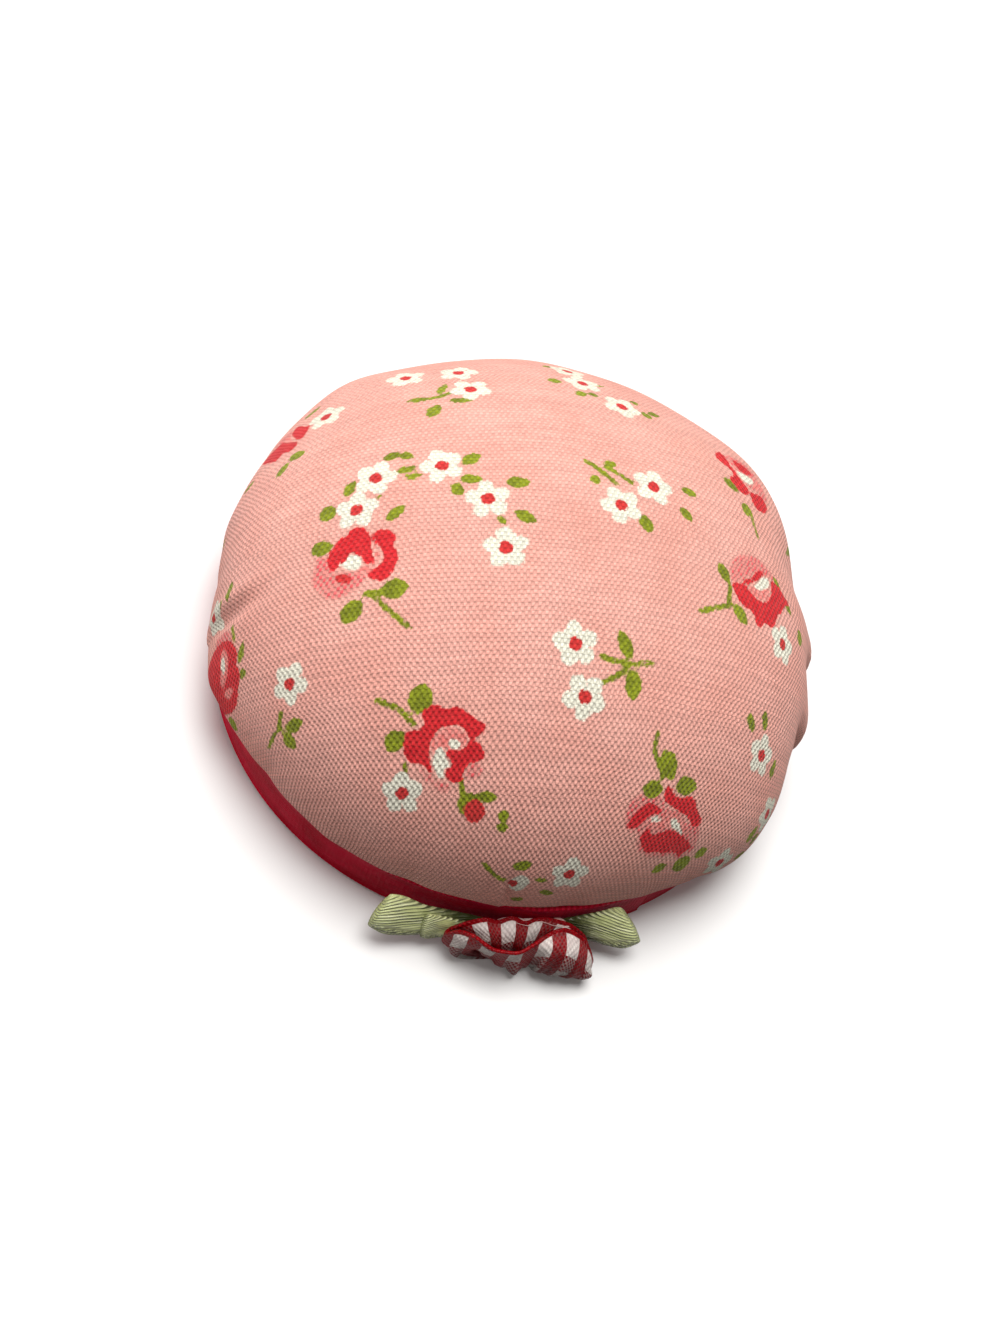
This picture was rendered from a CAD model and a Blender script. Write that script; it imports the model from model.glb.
import math

import bpy
import numpy as np
from mathutils import Matrix, Vector


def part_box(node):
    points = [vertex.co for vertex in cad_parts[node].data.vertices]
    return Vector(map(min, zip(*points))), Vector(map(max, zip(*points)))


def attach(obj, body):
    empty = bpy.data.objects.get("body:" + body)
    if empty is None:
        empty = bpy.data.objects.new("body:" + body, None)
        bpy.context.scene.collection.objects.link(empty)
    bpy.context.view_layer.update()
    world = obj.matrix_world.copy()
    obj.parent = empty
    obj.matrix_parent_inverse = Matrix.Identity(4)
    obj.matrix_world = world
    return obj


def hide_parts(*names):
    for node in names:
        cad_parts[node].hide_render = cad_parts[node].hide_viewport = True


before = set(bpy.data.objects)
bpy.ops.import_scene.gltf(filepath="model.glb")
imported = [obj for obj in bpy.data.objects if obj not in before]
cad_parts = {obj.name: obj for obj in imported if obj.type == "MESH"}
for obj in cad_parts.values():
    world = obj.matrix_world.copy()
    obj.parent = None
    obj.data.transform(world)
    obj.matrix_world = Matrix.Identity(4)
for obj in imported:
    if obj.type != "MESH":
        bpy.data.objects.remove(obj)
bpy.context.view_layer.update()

# Round pin cushion: a stuffed dome of printed cotton on a thin board edged with
# satin ribbon, with a gingham rosette and satin leaves glued to the front.
# Sizes here are in millimetres and mesh() turns them into metres.

MM = 0.001


def box_mm(node):
    """Lowest and highest corner of a CAD node in millimetres."""
    low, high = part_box(node)
    return [c / MM for c in low], [c / MM for c in high]


# Sizes taken from the frame
COVER_LOW, COVER_HIGH = box_mm("cotton_cover")
RIBBON_LOW, RIBBON_HIGH = box_mm("ribbon_band")
BOARD_HIGH = box_mm("base_board")[1]
THREAD_HIGH = box_mm("gathering_thread")[1]

# Cushion section
CUSHION_RADIUS = COVER_HIGH[0]
CUSHION_TOP = COVER_HIGH[2]
WIDEST_HEIGHT = COVER_LOW[2] + 1.0
ROLL_INNER_RADIUS = 36.2
ROLL_BOTTOM = RIBBON_HIGH[2] + 0.05
HEM_RADIUS = THREAD_HIGH[0]
HEM_TOP = THREAD_HIGH[2] + 0.2
CROWN_STEPS = 300

# Cloth: thread spacing across and up the cloth
COLUMN_PITCH = 0.364
ROW_PITCH = 0.489

RING_STEP = 0.45
RING_SECTORS = 6
MOST_PER_RING = 540

# Points on a smooth curve between two of the places given for it
CURVE_STEPS = 24
# Further than anything on the cloth
FAR = 1e3


# ---------------------------------------------------------------- meshes

def mesh(name, points, faces, smooth=True):
    """A new object from points in millimetres."""
    data = bpy.data.meshes.new(name)
    data.from_pydata((np.asarray(points, float) * MM).tolist(), [], faces)
    data.validate()
    data.polygons.foreach_set("use_smooth", [smooth] * len(data.polygons))
    made = bpy.data.objects.new(name, data)
    bpy.context.scene.collection.objects.link(made)
    return made


def store(made, name, values):
    """Keep one number or one vector per vertex as a named attribute."""
    values = np.asarray(values, float)
    kind, field = ("FLOAT", "value") if values.ndim == 1 else ("FLOAT_VECTOR", "vector")
    attribute = made.data.attributes.new(name, kind, "POINT")
    attribute.data.foreach_set(field, values.ravel())


def grid_faces(rows, columns, closed_rows=False, closed_columns=False):
    """Quads over a grid of points stored row by row."""
    faces = []
    for row in range(rows if closed_rows else rows - 1):
        below = (row + 1) % rows
        for column in range(columns if closed_columns else columns - 1):
            beside = (column + 1) % columns
            faces.append((row * columns + column, row * columns + beside,
                          below * columns + beside, below * columns + column))
    return faces


def end_faces(rows, columns):
    """The first and the last row of a grid of points, each closed by one face."""
    last = (rows - 1) * columns
    return [tuple(range(columns)), tuple(last + column for column in reversed(range(columns)))]


def turned_over(faces):
    """The same faces, facing the other way."""
    return [tuple(reversed(face)) for face in faces]


def unit(vectors):
    """Vectors scaled to length 1."""
    return vectors / np.linalg.norm(vectors, axis=-1, keepdims=True)


def smooth_step(values):
    """0 to 1 with no corner at either end."""
    values = np.clip(values, 0, 1)
    return values * values * (3 - 2 * values)


def smooth_line(points, count, closed=False):
    """Evenly spaced points on a smooth curve through the given points."""
    points = np.asarray(points, float)
    if closed:
        padded = np.concatenate([points[-1:], points, points[:2]])
    else:
        padded = np.concatenate([2 * points[:1] - points[1:2], points, 2 * points[-1:] - points[-2:-1]])
    share = np.linspace(0, 1, CURVE_STEPS, endpoint=False)[:, None]
    pieces = []
    for p0, p1, p2, p3 in zip(padded, padded[1:], padded[2:], padded[3:]):
        pieces.append(0.5 * (2 * p1 + (p2 - p0) * share + (2 * p0 - 5 * p1 + 4 * p2 - p3) * share ** 2
                             + (3 * p1 - p0 - 3 * p2 + p3) * share ** 3))
    line = np.concatenate(pieces + [padded[-2:-1]])
    travelled = np.concatenate([[0], np.cumsum(np.linalg.norm(np.diff(line, axis=0), axis=1))])
    wanted = np.linspace(0, travelled[-1], count, endpoint=not closed)
    return np.stack([np.interp(wanted, travelled, line[:, axis]) for axis in range(3)], 1), travelled[-1]


def from_segment(x, y, start, end):
    """How far along a segment each place is, from 0 to 1, and how far it is from the segment."""
    run_x, run_y = end[0] - start[0], end[1] - start[1]
    ahead_x, ahead_y = x - start[0], y - start[1]
    share = np.clip((ahead_x * run_x + ahead_y * run_y) / (run_x ** 2 + run_y ** 2), 0, 1)
    return share, np.hypot(ahead_x - share * run_x, ahead_y - share * run_y)


# ---------------------------------------------------------------- cushion shape

def cushion_section():
    """Radius and height of the cover from the top of the crown round to the hem."""
    turn = np.linspace(0, math.pi / 2, CROWN_STEPS)
    crown_rise = CUSHION_TOP - WIDEST_HEIGHT
    crown = np.stack([CUSHION_RADIUS * np.sin(turn), WIDEST_HEIGHT + crown_rise * np.cos(turn)], 1)
    roll_width = CUSHION_RADIUS - ROLL_INNER_RADIUS
    roll_drop = WIDEST_HEIGHT - ROLL_BOTTOM
    roll = np.stack([ROLL_INNER_RADIUS + roll_width * np.cos(turn[1:]),
                     WIDEST_HEIGHT - roll_drop * np.sin(turn[1:])], 1)
    under = [(ROLL_INNER_RADIUS - 2, COVER_LOW[2]), (HEM_RADIUS + 0.6, COVER_LOW[2]),
             (HEM_RADIUS, COVER_LOW[2] + 0.3), (HEM_RADIUS, HEM_TOP)]
    return np.concatenate([crown, roll, np.array(under)])


SECTION = cushion_section()
SECTION_ARC = np.concatenate([[0], np.cumsum(np.hypot(*np.diff(SECTION, axis=0).T))])
CROWN_ARC = SECTION_ARC[CROWN_STEPS - 1]

# Soft bulges and hollows of the stuffing:
# direction in degrees, distance from the top along the cloth, height,
# half width in degrees, half width along the cloth
BULGES = [
    (30, 36, 1.35, 16, 14), (5, 40.5, -1.2, 9, 10), (-13, 45, -0.7, 5, 6), (-28, 48, -0.4, 6, 6),
    (-48, 52, 1.7, 13, 9), (78, 34, -0.35, 12, 12), (105, 36, -0.4, 14, 12), (132, 41, 0.95, 9, 10),
    (145, 44, 0.3, 8, 8), (175, 51, -0.5, 9, 8), (-162, 53.5, 0.9, 10, 5),
    (-4, 51, 1.1, 2.4, 5), (-9.5, 51, -1.0, 2.6, 5), (-88, 53, -0.8, 32, 7),
    (-20, 50.5, 0.7, 3.5, 5), (-25, 50.5, -1.1, 2, 5),
]

# Folds that run up from the gathered edge:
# direction in degrees, height, half width in degrees, where they fade out up the cloth
FOLDS = [
    (-163, 0.3, 3, 40), (178, -0.3, 3, 40), (-22, 0.3, 3, 42), (-31, -0.3, 2.5, 43),
    (-38, 0.25, 3, 44), (-58, -0.25, 2.2, 45), (-70, 0.2, 3, 46), (-84, -0.22, 2.5, 46),
    (-97, 0.2, 3, 46), (-112, -0.25, 2.5, 45), (-128, 0.22, 3, 46), (-143, -0.3, 2.5, 44),
    (165, 0.3, 3, 43), (152, -0.3, 2.5, 42), (120, 0.25, 3, 42), (95, -0.3, 2.5, 42),
    (84, 0.25, 3, 43), (66, -0.3, 2.5, 42), (52, 0.3, 3, 43), (18, -0.25, 2.5, 44), (-2, 0.3, 3, 43),
]
FOLD_CURVE = 1.6
# The cloth is plain within this distance of the hem, and its relief fades out over the next stretch
HEM_PLAIN = 12
HEM_FADE = 4

# Creases of the cloth: a line on the flat cloth, its depth, the ridge beside it on the left of
# its run, and how wide it is
CREASES = [
    ([(-50, -8.6), (-46, -8.4), (-42, -8.1), (-38.5, -7.8), (-35.5, -7.2), (-33, -6.4)], 0.7, 0.55, 1.3),
    ([(-4.6, -52), (-4.9, -49), (-5.2, -46), (-5.3, -43)], 0.45, 0.3, 0.6),
    ([(51.5, -5.4), (48.5, -4.6), (45.5, -3.2), (43, -1.6)], 0.6, 0.55, 1.1),
]
# Along a crease: its strength at the start, then the shares of its run where it is full and fades
CREASE_START = 0.35
CREASE_FULL = 0.3
CREASE_FADE = 0.35
# Across a crease, as shares of its width: where the ridge is and how wide
RIDGE_PLACE = 1.5
RIDGE_WIDTH = 1.2


def crease_push(x, y):
    """Height from the creases at a place on the flat cloth."""
    push = np.zeros_like(x)
    for points, depth, ridge, width in CREASES:
        nearest = np.full_like(x, FAR)
        side = np.ones_like(x)
        place = np.zeros_like(x)
        travelled = 0.0
        total = sum(math.dist(start, end) for start, end in zip(points, points[1:]))
        for start, end in zip(points, points[1:]):
            share, away = from_segment(x, y, start, end)
            turned = np.sign((end[0] - start[0]) * (y - start[1]) - (end[1] - start[1]) * (x - start[0]))
            length = math.dist(start, end)
            closer = away < nearest
            nearest = np.where(closer, away, nearest)
            side = np.where(closer, turned, side)
            place = np.where(closer, (travelled + share * length) / total, place)
            travelled += length
        across = side * nearest / width
        fading = 1 - smooth_step((place - CREASE_FADE) / (1 - CREASE_FADE))
        starting = CREASE_START + (1 - CREASE_START) * smooth_step(place / CREASE_FULL)
        rise = ridge * np.exp(-((across - RIDGE_PLACE) / RIDGE_WIDTH) ** 2)
        push += fading * starting * (rise - depth * np.exp(-across ** 2))
    return push


def angle_between(first, second):
    """Signed difference of two directions in degrees."""
    return (first - second + 180) % 360 - 180


def relief(direction, arc):
    """How far the cloth stands out from the plain dome."""
    push = np.zeros_like(arc)
    for centre, distance, height, half_angle, half_arc in BULGES:
        across = angle_between(direction, centre) / half_angle
        along = (arc - distance) / half_arc
        push += height * np.exp(-across ** 2 - along ** 2)
    for centre, height, half_angle, start in FOLDS:
        across = angle_between(direction, centre) / half_angle
        rise = np.clip((arc - start) / (CROWN_ARC + 1 - start), 0, 1) ** FOLD_CURVE
        push += height * rise * np.exp(-across ** 2)
    turn = np.radians(direction)
    push += crease_push(arc * np.cos(turn), arc * np.sin(turn))
    fade = np.clip((SECTION_ARC[-1] - HEM_PLAIN - arc) / HEM_FADE, 0, 1)
    return push * fade


def cloth_surface(direction, arc):
    """Place of a point of the cover, from its direction in degrees and distance from the top."""
    radius = np.interp(arc, SECTION_ARC, SECTION[:, 0])
    height = np.interp(arc, SECTION_ARC, SECTION[:, 1])
    step = 0.2
    near, far = np.clip(arc - step, 0, None), np.clip(arc + step, None, SECTION_ARC[-1])
    run = np.interp(far, SECTION_ARC, SECTION[:, 0]) - np.interp(near, SECTION_ARC, SECTION[:, 0])
    drop = np.interp(near, SECTION_ARC, SECTION[:, 1]) - np.interp(far, SECTION_ARC, SECTION[:, 1])
    slope = np.arctan2(drop, run)
    push = relief(direction, arc)
    radius = radius + push * np.sin(slope)
    height = height + push * np.cos(slope)
    turn = np.radians(direction)
    return np.stack([radius * np.cos(turn), radius * np.sin(turn), height], -1)


def cover_rings():
    """Direction and distance from the top of every point, ring by ring, and the ring sizes."""
    arcs = np.arange(RING_STEP, SECTION_ARC[-1], RING_STEP)
    arcs = np.append(arcs, SECTION_ARC[-1])
    sizes = [min(RING_SECTORS * (ring + 1), MOST_PER_RING) for ring in range(len(arcs))]
    direction = [np.zeros(1)]
    distance = [np.zeros(1)]
    for size, arc in zip(sizes, arcs):
        direction.append(np.arange(size) * 360.0 / size)
        distance.append(np.full(size, arc))
    return np.concatenate(direction), np.concatenate(distance), sizes


def ring_faces(sizes):
    """Triangles from the top out to the last growing ring, then quads."""
    faces = [(0, 1 + corner, 1 + (corner + 1) % RING_SECTORS) for corner in range(RING_SECTORS)]
    start = 1
    for ring in range(len(sizes) - 1):
        inner, outer = sizes[ring], sizes[ring + 1]
        after = start + inner
        if inner == outer:
            for place in range(inner):
                beside = (place + 1) % inner
                faces.append((start + place, after + place, after + beside, start + beside))
        else:
            steps = inner // RING_SECTORS
            for sector in range(RING_SECTORS):
                for step in range(steps + 1):
                    low = start + (sector * steps + step) % inner
                    first = after + sector * (steps + 1) + step
                    second = after + (sector * (steps + 1) + step + 1) % outer
                    faces.append((low, first, second))
                    if step < steps:
                        beside = start + (sector * steps + step + 1) % inner
                        faces.append((low, second, beside))
        start = after
    return faces, start


# ---------------------------------------------------------------- the print
# Places are millimetres on the flat cloth, from the middle of the crown.

DAISY_EYE = 0.8
DAISY_HEART = 1.2
PETAL_DISTANCE = 1.6
PETAL_LENGTH = 1.02
PETAL_WIDTH = 0.95
DAISIES = [
    (-22.4, 3.8, 67), (-24.6, -0.5, 13), (-14.8, 4.4, 36), (-9.8, -0.7, 25), (-8, -7, 23),
    (-29.3, 19.6, 15), (-10.7, 18.9, 50), (-11.8, 24.4, 3), (-18.6, 24.2, 28), (-47.5, -6.5, 12),
    (-33.4, -20.3, 55), (-19.4, -34.3, 18), (5.6, 0, 44), (10.1, 3.8, 8), (4.4, 23.6, 31),
    (8.7, 18.6, 62), (3.5, 28.3, 17), (29.6, -11.4, 9), (-0.3, -17.7, 27), (1, -23.3, 49),
    (28.3, -40.8, 33), (27.8, -26, 14), (34.3, -32.5, 58), (2.8, -44.1, 20),
    (46.5, 8, 12), (49, 14, 38), (19, 36, 25), (25, 33, 51), (-2, 41.5, 7), (-7.5, 44.5, 30),
    (-29, 35, 44), (-34, 32.5, 11), (35, 36, 19), (-40, 29, 26), (10, 48, 35),
]

# Sprig leaves: middle, length, width, direction in degrees
LEAVES = [
    (-28.6, -4.7, 3.2, 1.7, -5), (-20, -11.3, 3.5, 2, 5), (-25, -13.2, 3.6, 2, 42),
    (-28, -0.1, 2.6, 1.9, -42), (-25.4, 3.1, 2.8, 1.2, 60), (-20.3, 6.9, 2.6, 1.1, 16),
    (-18.7, 6.5, 2.2, 1.0, -28), (-18.7, 4.4, 2.9, 0.8, 8), (-17.9, 3.2, 2.4, 0.8, 10),
    (-11.3, 5.3, 2.9, 1.35, 32), (-11.4, 2.1, 3.0, 1.1, -8), (-13.1, 0.6, 2.3, 1.3, -65),
    (-22, 0.8, 1.1, 0.6, 15), (-20, -1.7, 3.1, 1.1, 38), (-8.3, -3.6, 1.5, 0.8, -65),
    (-6.1, 1.7, 3, 1.35, 0), (-5.6, -3.1, 2.9, 1.3, -28),
    (5, 6, 2, 1, 5), (2.8, 3.2, 1.6, 1.2, 40), (8.6, -2.1, 2.8, 1.5, -65), (15.3, 4.6, 2.6, 1, -10),
    (14.3, 0.8, 2.5, 1.1, -50),
    (-17, 17.3, 3.4, 0.8, 0), (-14.1, 19.6, 3.2, 0.9, 68), (-11.9, 16.2, 3.2, 1, -5),
    (-15.3, 14.5, 3.2, 1.4, 60), (0.5, 22.6, 2.2, 1.2, -10), (3.5, 19.9, 2, 1.3, 30),
    (5.2, 20.3, 1.6, 0.9, -10), (6.8, 24.2, 2.2, 0.7, 20), (11.2, 21, 1.5, 0.9, 0),
    (12.2, 18.1, 2, 1.1, -35), (13.5, 19.2, 2.2, 1, 10), (1.2, 29, 2.6, 1, 10),
    (-43, -4.7, 3.4, 1.1, 85), (-45, -6, 1.8, 0.9, 60), (-41.2, -14.2, 3.2, 1.1, 62),
    (-41.3, -17, 1.9, 1.1, 20), (-46, -23, 3, 1.2, -60), (-32.9, 12.8, 2.9, 1.5, -5),
    (-35, 11.3, 2.9, 1.1, 55), (-31.5, 24, 3.4, 0.9, 30),
    (-33.2, -25.3, 3.2, 1.4, 12), (-34.3, -27.3, 2.9, 1.5, -48),
    (-17.2, -23.6, 3.7, 2.4, 80), (-20, -28.2, 3.1, 2, 38), (-7, -36.8, 1.7, 1.1, -20),
    (-7, -38.1, 1.6, 1.1, -12), (-9.1, -34.6, 2.9, 1.1, -6),
    (5.4, -17, 3.8, 1.4, 112), (6.7, -21.7, 3.8, 1.7, -88),
    (12.6, -29.8, 4, 2.1, -62), (11.1, -32.5, 3.2, 1.8, 8), (15.9, -31.6, 3.6, 1.9, 5),
    (20.2, -42, 3.3, 2.4, -60), (16.5, -42.6, 2.6, 1.4, 30), (22.6, -39.6, 2.5, 1.4, 35),
    (19.1, -5.8, 3, 1.4, -60), (21.5, -10.4, 3.2, 1.5, -45), (29.3, -3.6, 3, 0.9, -55),
    (31.5, -5.8, 2.4, 1, -40), (35, -8.4, 2.2, 1.9, 0), (22.7, 9, 3.1, 1.3, -28),
    (24.9, 6.3, 2.2, 1.8, 60), (24.5, -22.8, 2.7, 1.2, -52), (27.2, -22, 2.7, 1.1, -75),
    (31.5, -26.8, 3.2, 1, 82), (32, -35.5, 3.2, 1.2, 66), (34, -36, 2.6, 1.2, 50),
    (33, -39, 3, 1.2, 30), (-3.7, -43.1, 2.9, 1.3, 14), (-0.8, -45.3, 2.1, 0.7, -4),
    (0.8, -47.8, 2.6, 1, -14), (-3, -49.8, 2.2, 1, 4),
    (38.5, 8.5, 3, 1.3, 40), (44, 1.5, 2.8, 1.2, -30), (48.5, 7.5, 2.6, 1.2, 70),
    (14, 34.5, 3, 1.3, 100), (20, 33.5, 2.8, 1.2, 40), (25.8, 31.3, 2.6, 1.2, 10),
    (-4.5, 38, 3, 1.3, -40), (-11, 42, 3, 1.2, 70), (-2.5, 46.5, 2.8, 1.2, 15),
    (-25.5, 38.5, 3, 1.3, 30), (-37.5, 36, 2.6, 1.2, -20), (-32, 28.8, 2.6, 1.1, -60),
    (31, 38.5, 3, 1.2, 80), (39, 33.5, 3, 1.3, -10), (-49, 9, 2.6, 1.2, 40), (-42, 14.5, 2.8, 1.2, 5),
    (-22.5, 43, 3.2, 1.8, -70), (-15.5, 47.5, 3, 1.5, 20), (31, 20.5, 3.2, 1.8, 35), (41, 25.5, 3, 1.6, -50),
]

STEM_WIDTH = 0.65
STEMS = [
    [(-23.2, -11.4), (-21, -13.6), (-18.6, -15.9)], [(-23.6, -11.5), (-21.4, -11.6)],
    [(1.9, 5.9), (3.6, 4.6), (5.4, 2.9)], [(4.2, 5.4), (5.8, 4.6), (7.4, 3.6)],
    [(-17.5, 17), (-14.6, 17.4), (-12.5, 18.6)], [(-43, -10), (-42.5, -12.5)],
    [(-38.6, -27.6), (-36.4, -25.6), (-35.4, -25.3)], [(-36, -25.6), (-35.2, -23.6)],
    [(-22.2, -23.7), (-19.9, -24.7), (-17.9, -26.6)], [(-18.9, -31), (-19, -32.8)],
    [(-12.5, -32.6), (-12.1, -34.4), (-10.4, -34.7)],
    [(2.6, -18.8), (5.9, -19.3), (9, -18.8)], [(3, -21.6), (5.8, -20)],
    [(10.3, -26.3), (10.2, -28.2), (11.9, -31)], [(19.8, -7), (19.4, -9.8)],
    [(15.2, -11.6), (17.4, -10.5), (20.2, -9.6)], [(25.6, 6), (26.4, 2.6)],
    [(-8.9, -43.1), (-7.2, -44.9), (-5.6, -45.8)], [(36.5, 6.5), (40, 10.5)],
    [(12.5, 33), (15, 36.5)], [(-6, 36.5), (-9, 40)], [(-27, 37), (-23, 40.5)], [(30, 35.5), (33, 40)],
]

# Rose drawings on the flat cloth: the middle of each, and the outlines of its speckled shade,
# red petals, pale petals, white light and small red marks
ROSE_TALL = {
    "middle": (-24, -7),
    "speckle": [
        [(-29.2, -5.9), (-28.2, -6.4), (-27.9, -7.6), (-27.0, -8.2), (-25.6, -8.5), (-24.2, -8.8),
         (-23.4, -9.7), (-24.3, -10.4), (-25.6, -11.2), (-27.4, -11.4), (-28.6, -10.8), (-29.2, -9.8),
         (-30.0, -9.0), (-29.9, -7.8)]],
    "rose": [
        [(-25.8, -3.7), (-24.9, -2.9), (-23.9, -3.0), (-23.2, -3.9), (-22.8, -4.9), (-22.8, -6.2),
         (-22.4, -7.7), (-23.0, -8.0), (-23.8, -7.5), (-24.0, -6.8), (-24.6, -6.8), (-24.9, -6.1),
         (-25.4, -6.3), (-25.7, -7.0), (-26.6, -7.6), (-27.4, -8.0), (-28.0, -7.2), (-28.0, -6.0),
         (-27.3, -4.8), (-26.7, -4.1)],
        [(-22.6, -3.9), (-21.7, -3.7), (-20.6, -4.1), (-20.1, -5.0), (-20.3, -6.0), (-19.8, -7.2),
         (-20.0, -8.3), (-20.6, -9.5), (-21.6, -10.2), (-22.6, -9.9), (-23.3, -9.4), (-22.7, -8.6),
         (-21.6, -8.0), (-21.6, -6.8), (-22.2, -5.6), (-22.6, -4.8)]],
    "blush": [
        [(-22.6, -5.8), (-22.1, -6.1), (-21.8, -7.4), (-22.3, -8.3), (-23.2, -9.0), (-24.6, -9.0),
         (-24.3, -8.3), (-23.2, -8.2), (-22.4, -7.8)]],
    "light": [
        [(-25.5, -6.3), (-24.9, -6.5), (-24.1, -6.9), (-24.0, -7.7), (-24.4, -8.4), (-25.3, -8.3),
         (-26.2, -7.8), (-26.8, -7.2), (-25.8, -7.1)]],
    "mark": [[(-26.9, -8.5), (-26.1, -8.7), (-25.2, -9.3), (-25.3, -9.8), (-26.3, -9.7), (-27.0, -9.2)]],
}
ROSE_ROUND = {
    "middle": (-14.4, -28.7),
    "speckle": [
        [(-17.2, -31.0), (-16.2, -32.3), (-14.8, -33.0), (-13.7, -33.6), (-14.6, -34.2), (-15.8, -33.4),
         (-16.8, -32.2)],
        [(-11.7, -31.2), (-10.3, -30.8), (-10.1, -31.8), (-11.0, -32.7), (-12.0, -32.3)]],
    "rose": [
        [(-15.6, -24.5), (-14.4, -25.0), (-13.0, -24.8), (-11.9, -25.5), (-10.9, -26.2), (-9.9, -26.8),
         (-10.2, -27.6), (-11.2, -28.3), (-11.8, -28.0), (-12.2, -27.2), (-13.2, -26.8), (-14.6, -27.0),
         (-15.5, -27.7), (-16.1, -28.8), (-16.1, -30.4), (-15.6, -32.0), (-16.3, -31.9), (-16.9, -31.0),
         (-18.2, -30.9), (-19.0, -29.9), (-19.1, -28.4), (-18.8, -27.3), (-17.4, -27.2), (-16.8, -26.6),
         (-17.1, -25.5), (-16.4, -24.8)],
        [(-11.6, -28.2), (-10.6, -28.7), (-9.9, -29.7), (-10.3, -30.7), (-11.5, -31.0), (-12.1, -31.7),
         (-12.2, -32.6), (-13.2, -33.1), (-14.1, -32.5), (-14.3, -31.6), (-13.4, -31.1), (-14.1, -30.2),
         (-14.2, -29.5), (-13.0, -29.4), (-12.1, -29.2)]],
    "blush": [
        [(-14.8, -27.2), (-13.3, -27.0), (-12.2, -27.5), (-12.0, -28.8), (-13.0, -29.3), (-14.4, -29.3),
         (-15.6, -30.0), (-15.9, -29.0), (-15.5, -27.9)]],
    "light": [
        [(-15.2, -29.3), (-14.5, -29.2), (-14.3, -30.2), (-13.5, -31.2), (-14.4, -31.5), (-14.3, -32.5),
         (-15.1, -32.4), (-15.7, -31.2), (-15.7, -30.2)],
        [(-13.9, -28.4), (-13.2, -28.3), (-12.5, -28.8), (-13.0, -29.3), (-13.8, -29.1)]],
}
ROSE_WIDE = {
    "middle": (14.4, -36.2),
    "speckle": [
        [(9.4, -33.2), (11.0, -32.9), (12.4, -33.3), (13.6, -34.5), (15.9, -34.9), (18.0, -36.1),
         (19.6, -36.2), (20.5, -37.6), (20.6, -39.4), (19.2, -41.0), (17.0, -40.4), (15.4, -40.9),
         (12.9, -40.8), (10.9, -39.7), (10.5, -37.9), (9.3, -37.7), (8.2, -36.8), (8.1, -34.8)]],
    "rose": [
        [(12.6, -32.1), (13.4, -32.0), (14.6, -33.0), (16.8, -32.8), (17.9, -33.2), (18.3, -34.1),
         (19.4, -35.0), (19.9, -35.7), (19.1, -36.3), (18.1, -36.0), (17.0, -35.1), (15.9, -34.8),
         (14.3, -34.3), (13.0, -33.7)],
        [(11.9, -34.2), (12.9, -34.8), (12.6, -35.3), (11.5, -35.5), (10.7, -36.4), (9.4, -37.5),
         (8.5, -37.1), (9.0, -35.9), (9.8, -34.7), (10.9, -34.0)],
        [(11.8, -37.1), (12.6, -37.9), (14.3, -37.3), (16.3, -37.1), (17.7, -37.7), (19.4, -38.6),
         (20.1, -39.2), (19.4, -39.7), (18.6, -40.6), (17.0, -39.9), (15.4, -40.4), (14.3, -40.1),
         (12.9, -40.4), (11.8, -39.7), (11.0, -38.8), (11.1, -37.7)]],
    "blush": [
        [(13.5, -34.8), (15.5, -35.1), (17.5, -36.5), (18.5, -37.5), (17.0, -37.3), (14.5, -36.9),
         (12.6, -37.3), (11.2, -36.8), (12.4, -36.3), (13.4, -35.4)]],
    "light": [
        [(12.3, -35.5), (13.4, -35.9), (12.3, -36.3), (11.6, -36.1)],
        [(14.8, -35.6), (15.7, -35.8), (16.8, -36.8), (17.4, -37.6), (16.3, -37.1), (15.3, -36.8),
         (14.7, -36.1)]],
}
ROSE_OPEN = {
    "middle": (25.6, -6.4),
    "speckle": [
        [(20.2, -4.4), (21.2, -2.9), (22.8, -1.8), (24.6, -1.2), (26.6, -1.5), (28.2, -2.2), (28.8, -3.2),
         (27.0, -3.0), (25.0, -3.2), (23.4, -4.6), (22.0, -5.2), (21.2, -6.2), (20.1, -6.0)]],
    "rose": [
        [(20.1, -6.9), (20.7, -6.4), (21.7, -6.1), (22.3, -5.9), (22.8, -6.4), (24.0, -7.1), (25.3, -7.3),
         (26.4, -6.9), (27.1, -6.0), (27.6, -4.7), (27.6, -3.6), (28.7, -3.3), (29.8, -3.7), (30.9, -4.4),
         (31.9, -5.0), (31.1, -5.4), (30.2, -6.2), (29.3, -7.3), (28.4, -8.2), (27.8, -9.6), (26.9, -10.2),
         (25.8, -10.0), (25.1, -10.7), (24.4, -10.9), (23.9, -10.2), (23.3, -9.1), (22.2, -9.1),
         (21.3, -8.7), (20.7, -7.8)],
        [(22.2, -5.2), (23.3, -4.9), (24.4, -3.7), (25.6, -2.9), (26.7, -2.8), (25.8, -3.6), (24.7, -4.7),
         (23.8, -5.2), (23.0, -5.9), (22.3, -5.8)]],
    "blush": [
        [(22.8, -6.2), (24.2, -5.8), (25.8, -5.5), (26.9, -4.9), (27.1, -5.6), (26.4, -6.7), (25.2, -7.1),
         (23.8, -6.9)]],
    "light": [
        [(26.9, -3.4), (27.3, -3.8), (26.9, -4.7), (25.8, -5.4), (24.9, -5.9), (24.0, -5.7), (24.9, -4.8),
         (25.8, -3.8)]],
}
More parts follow.
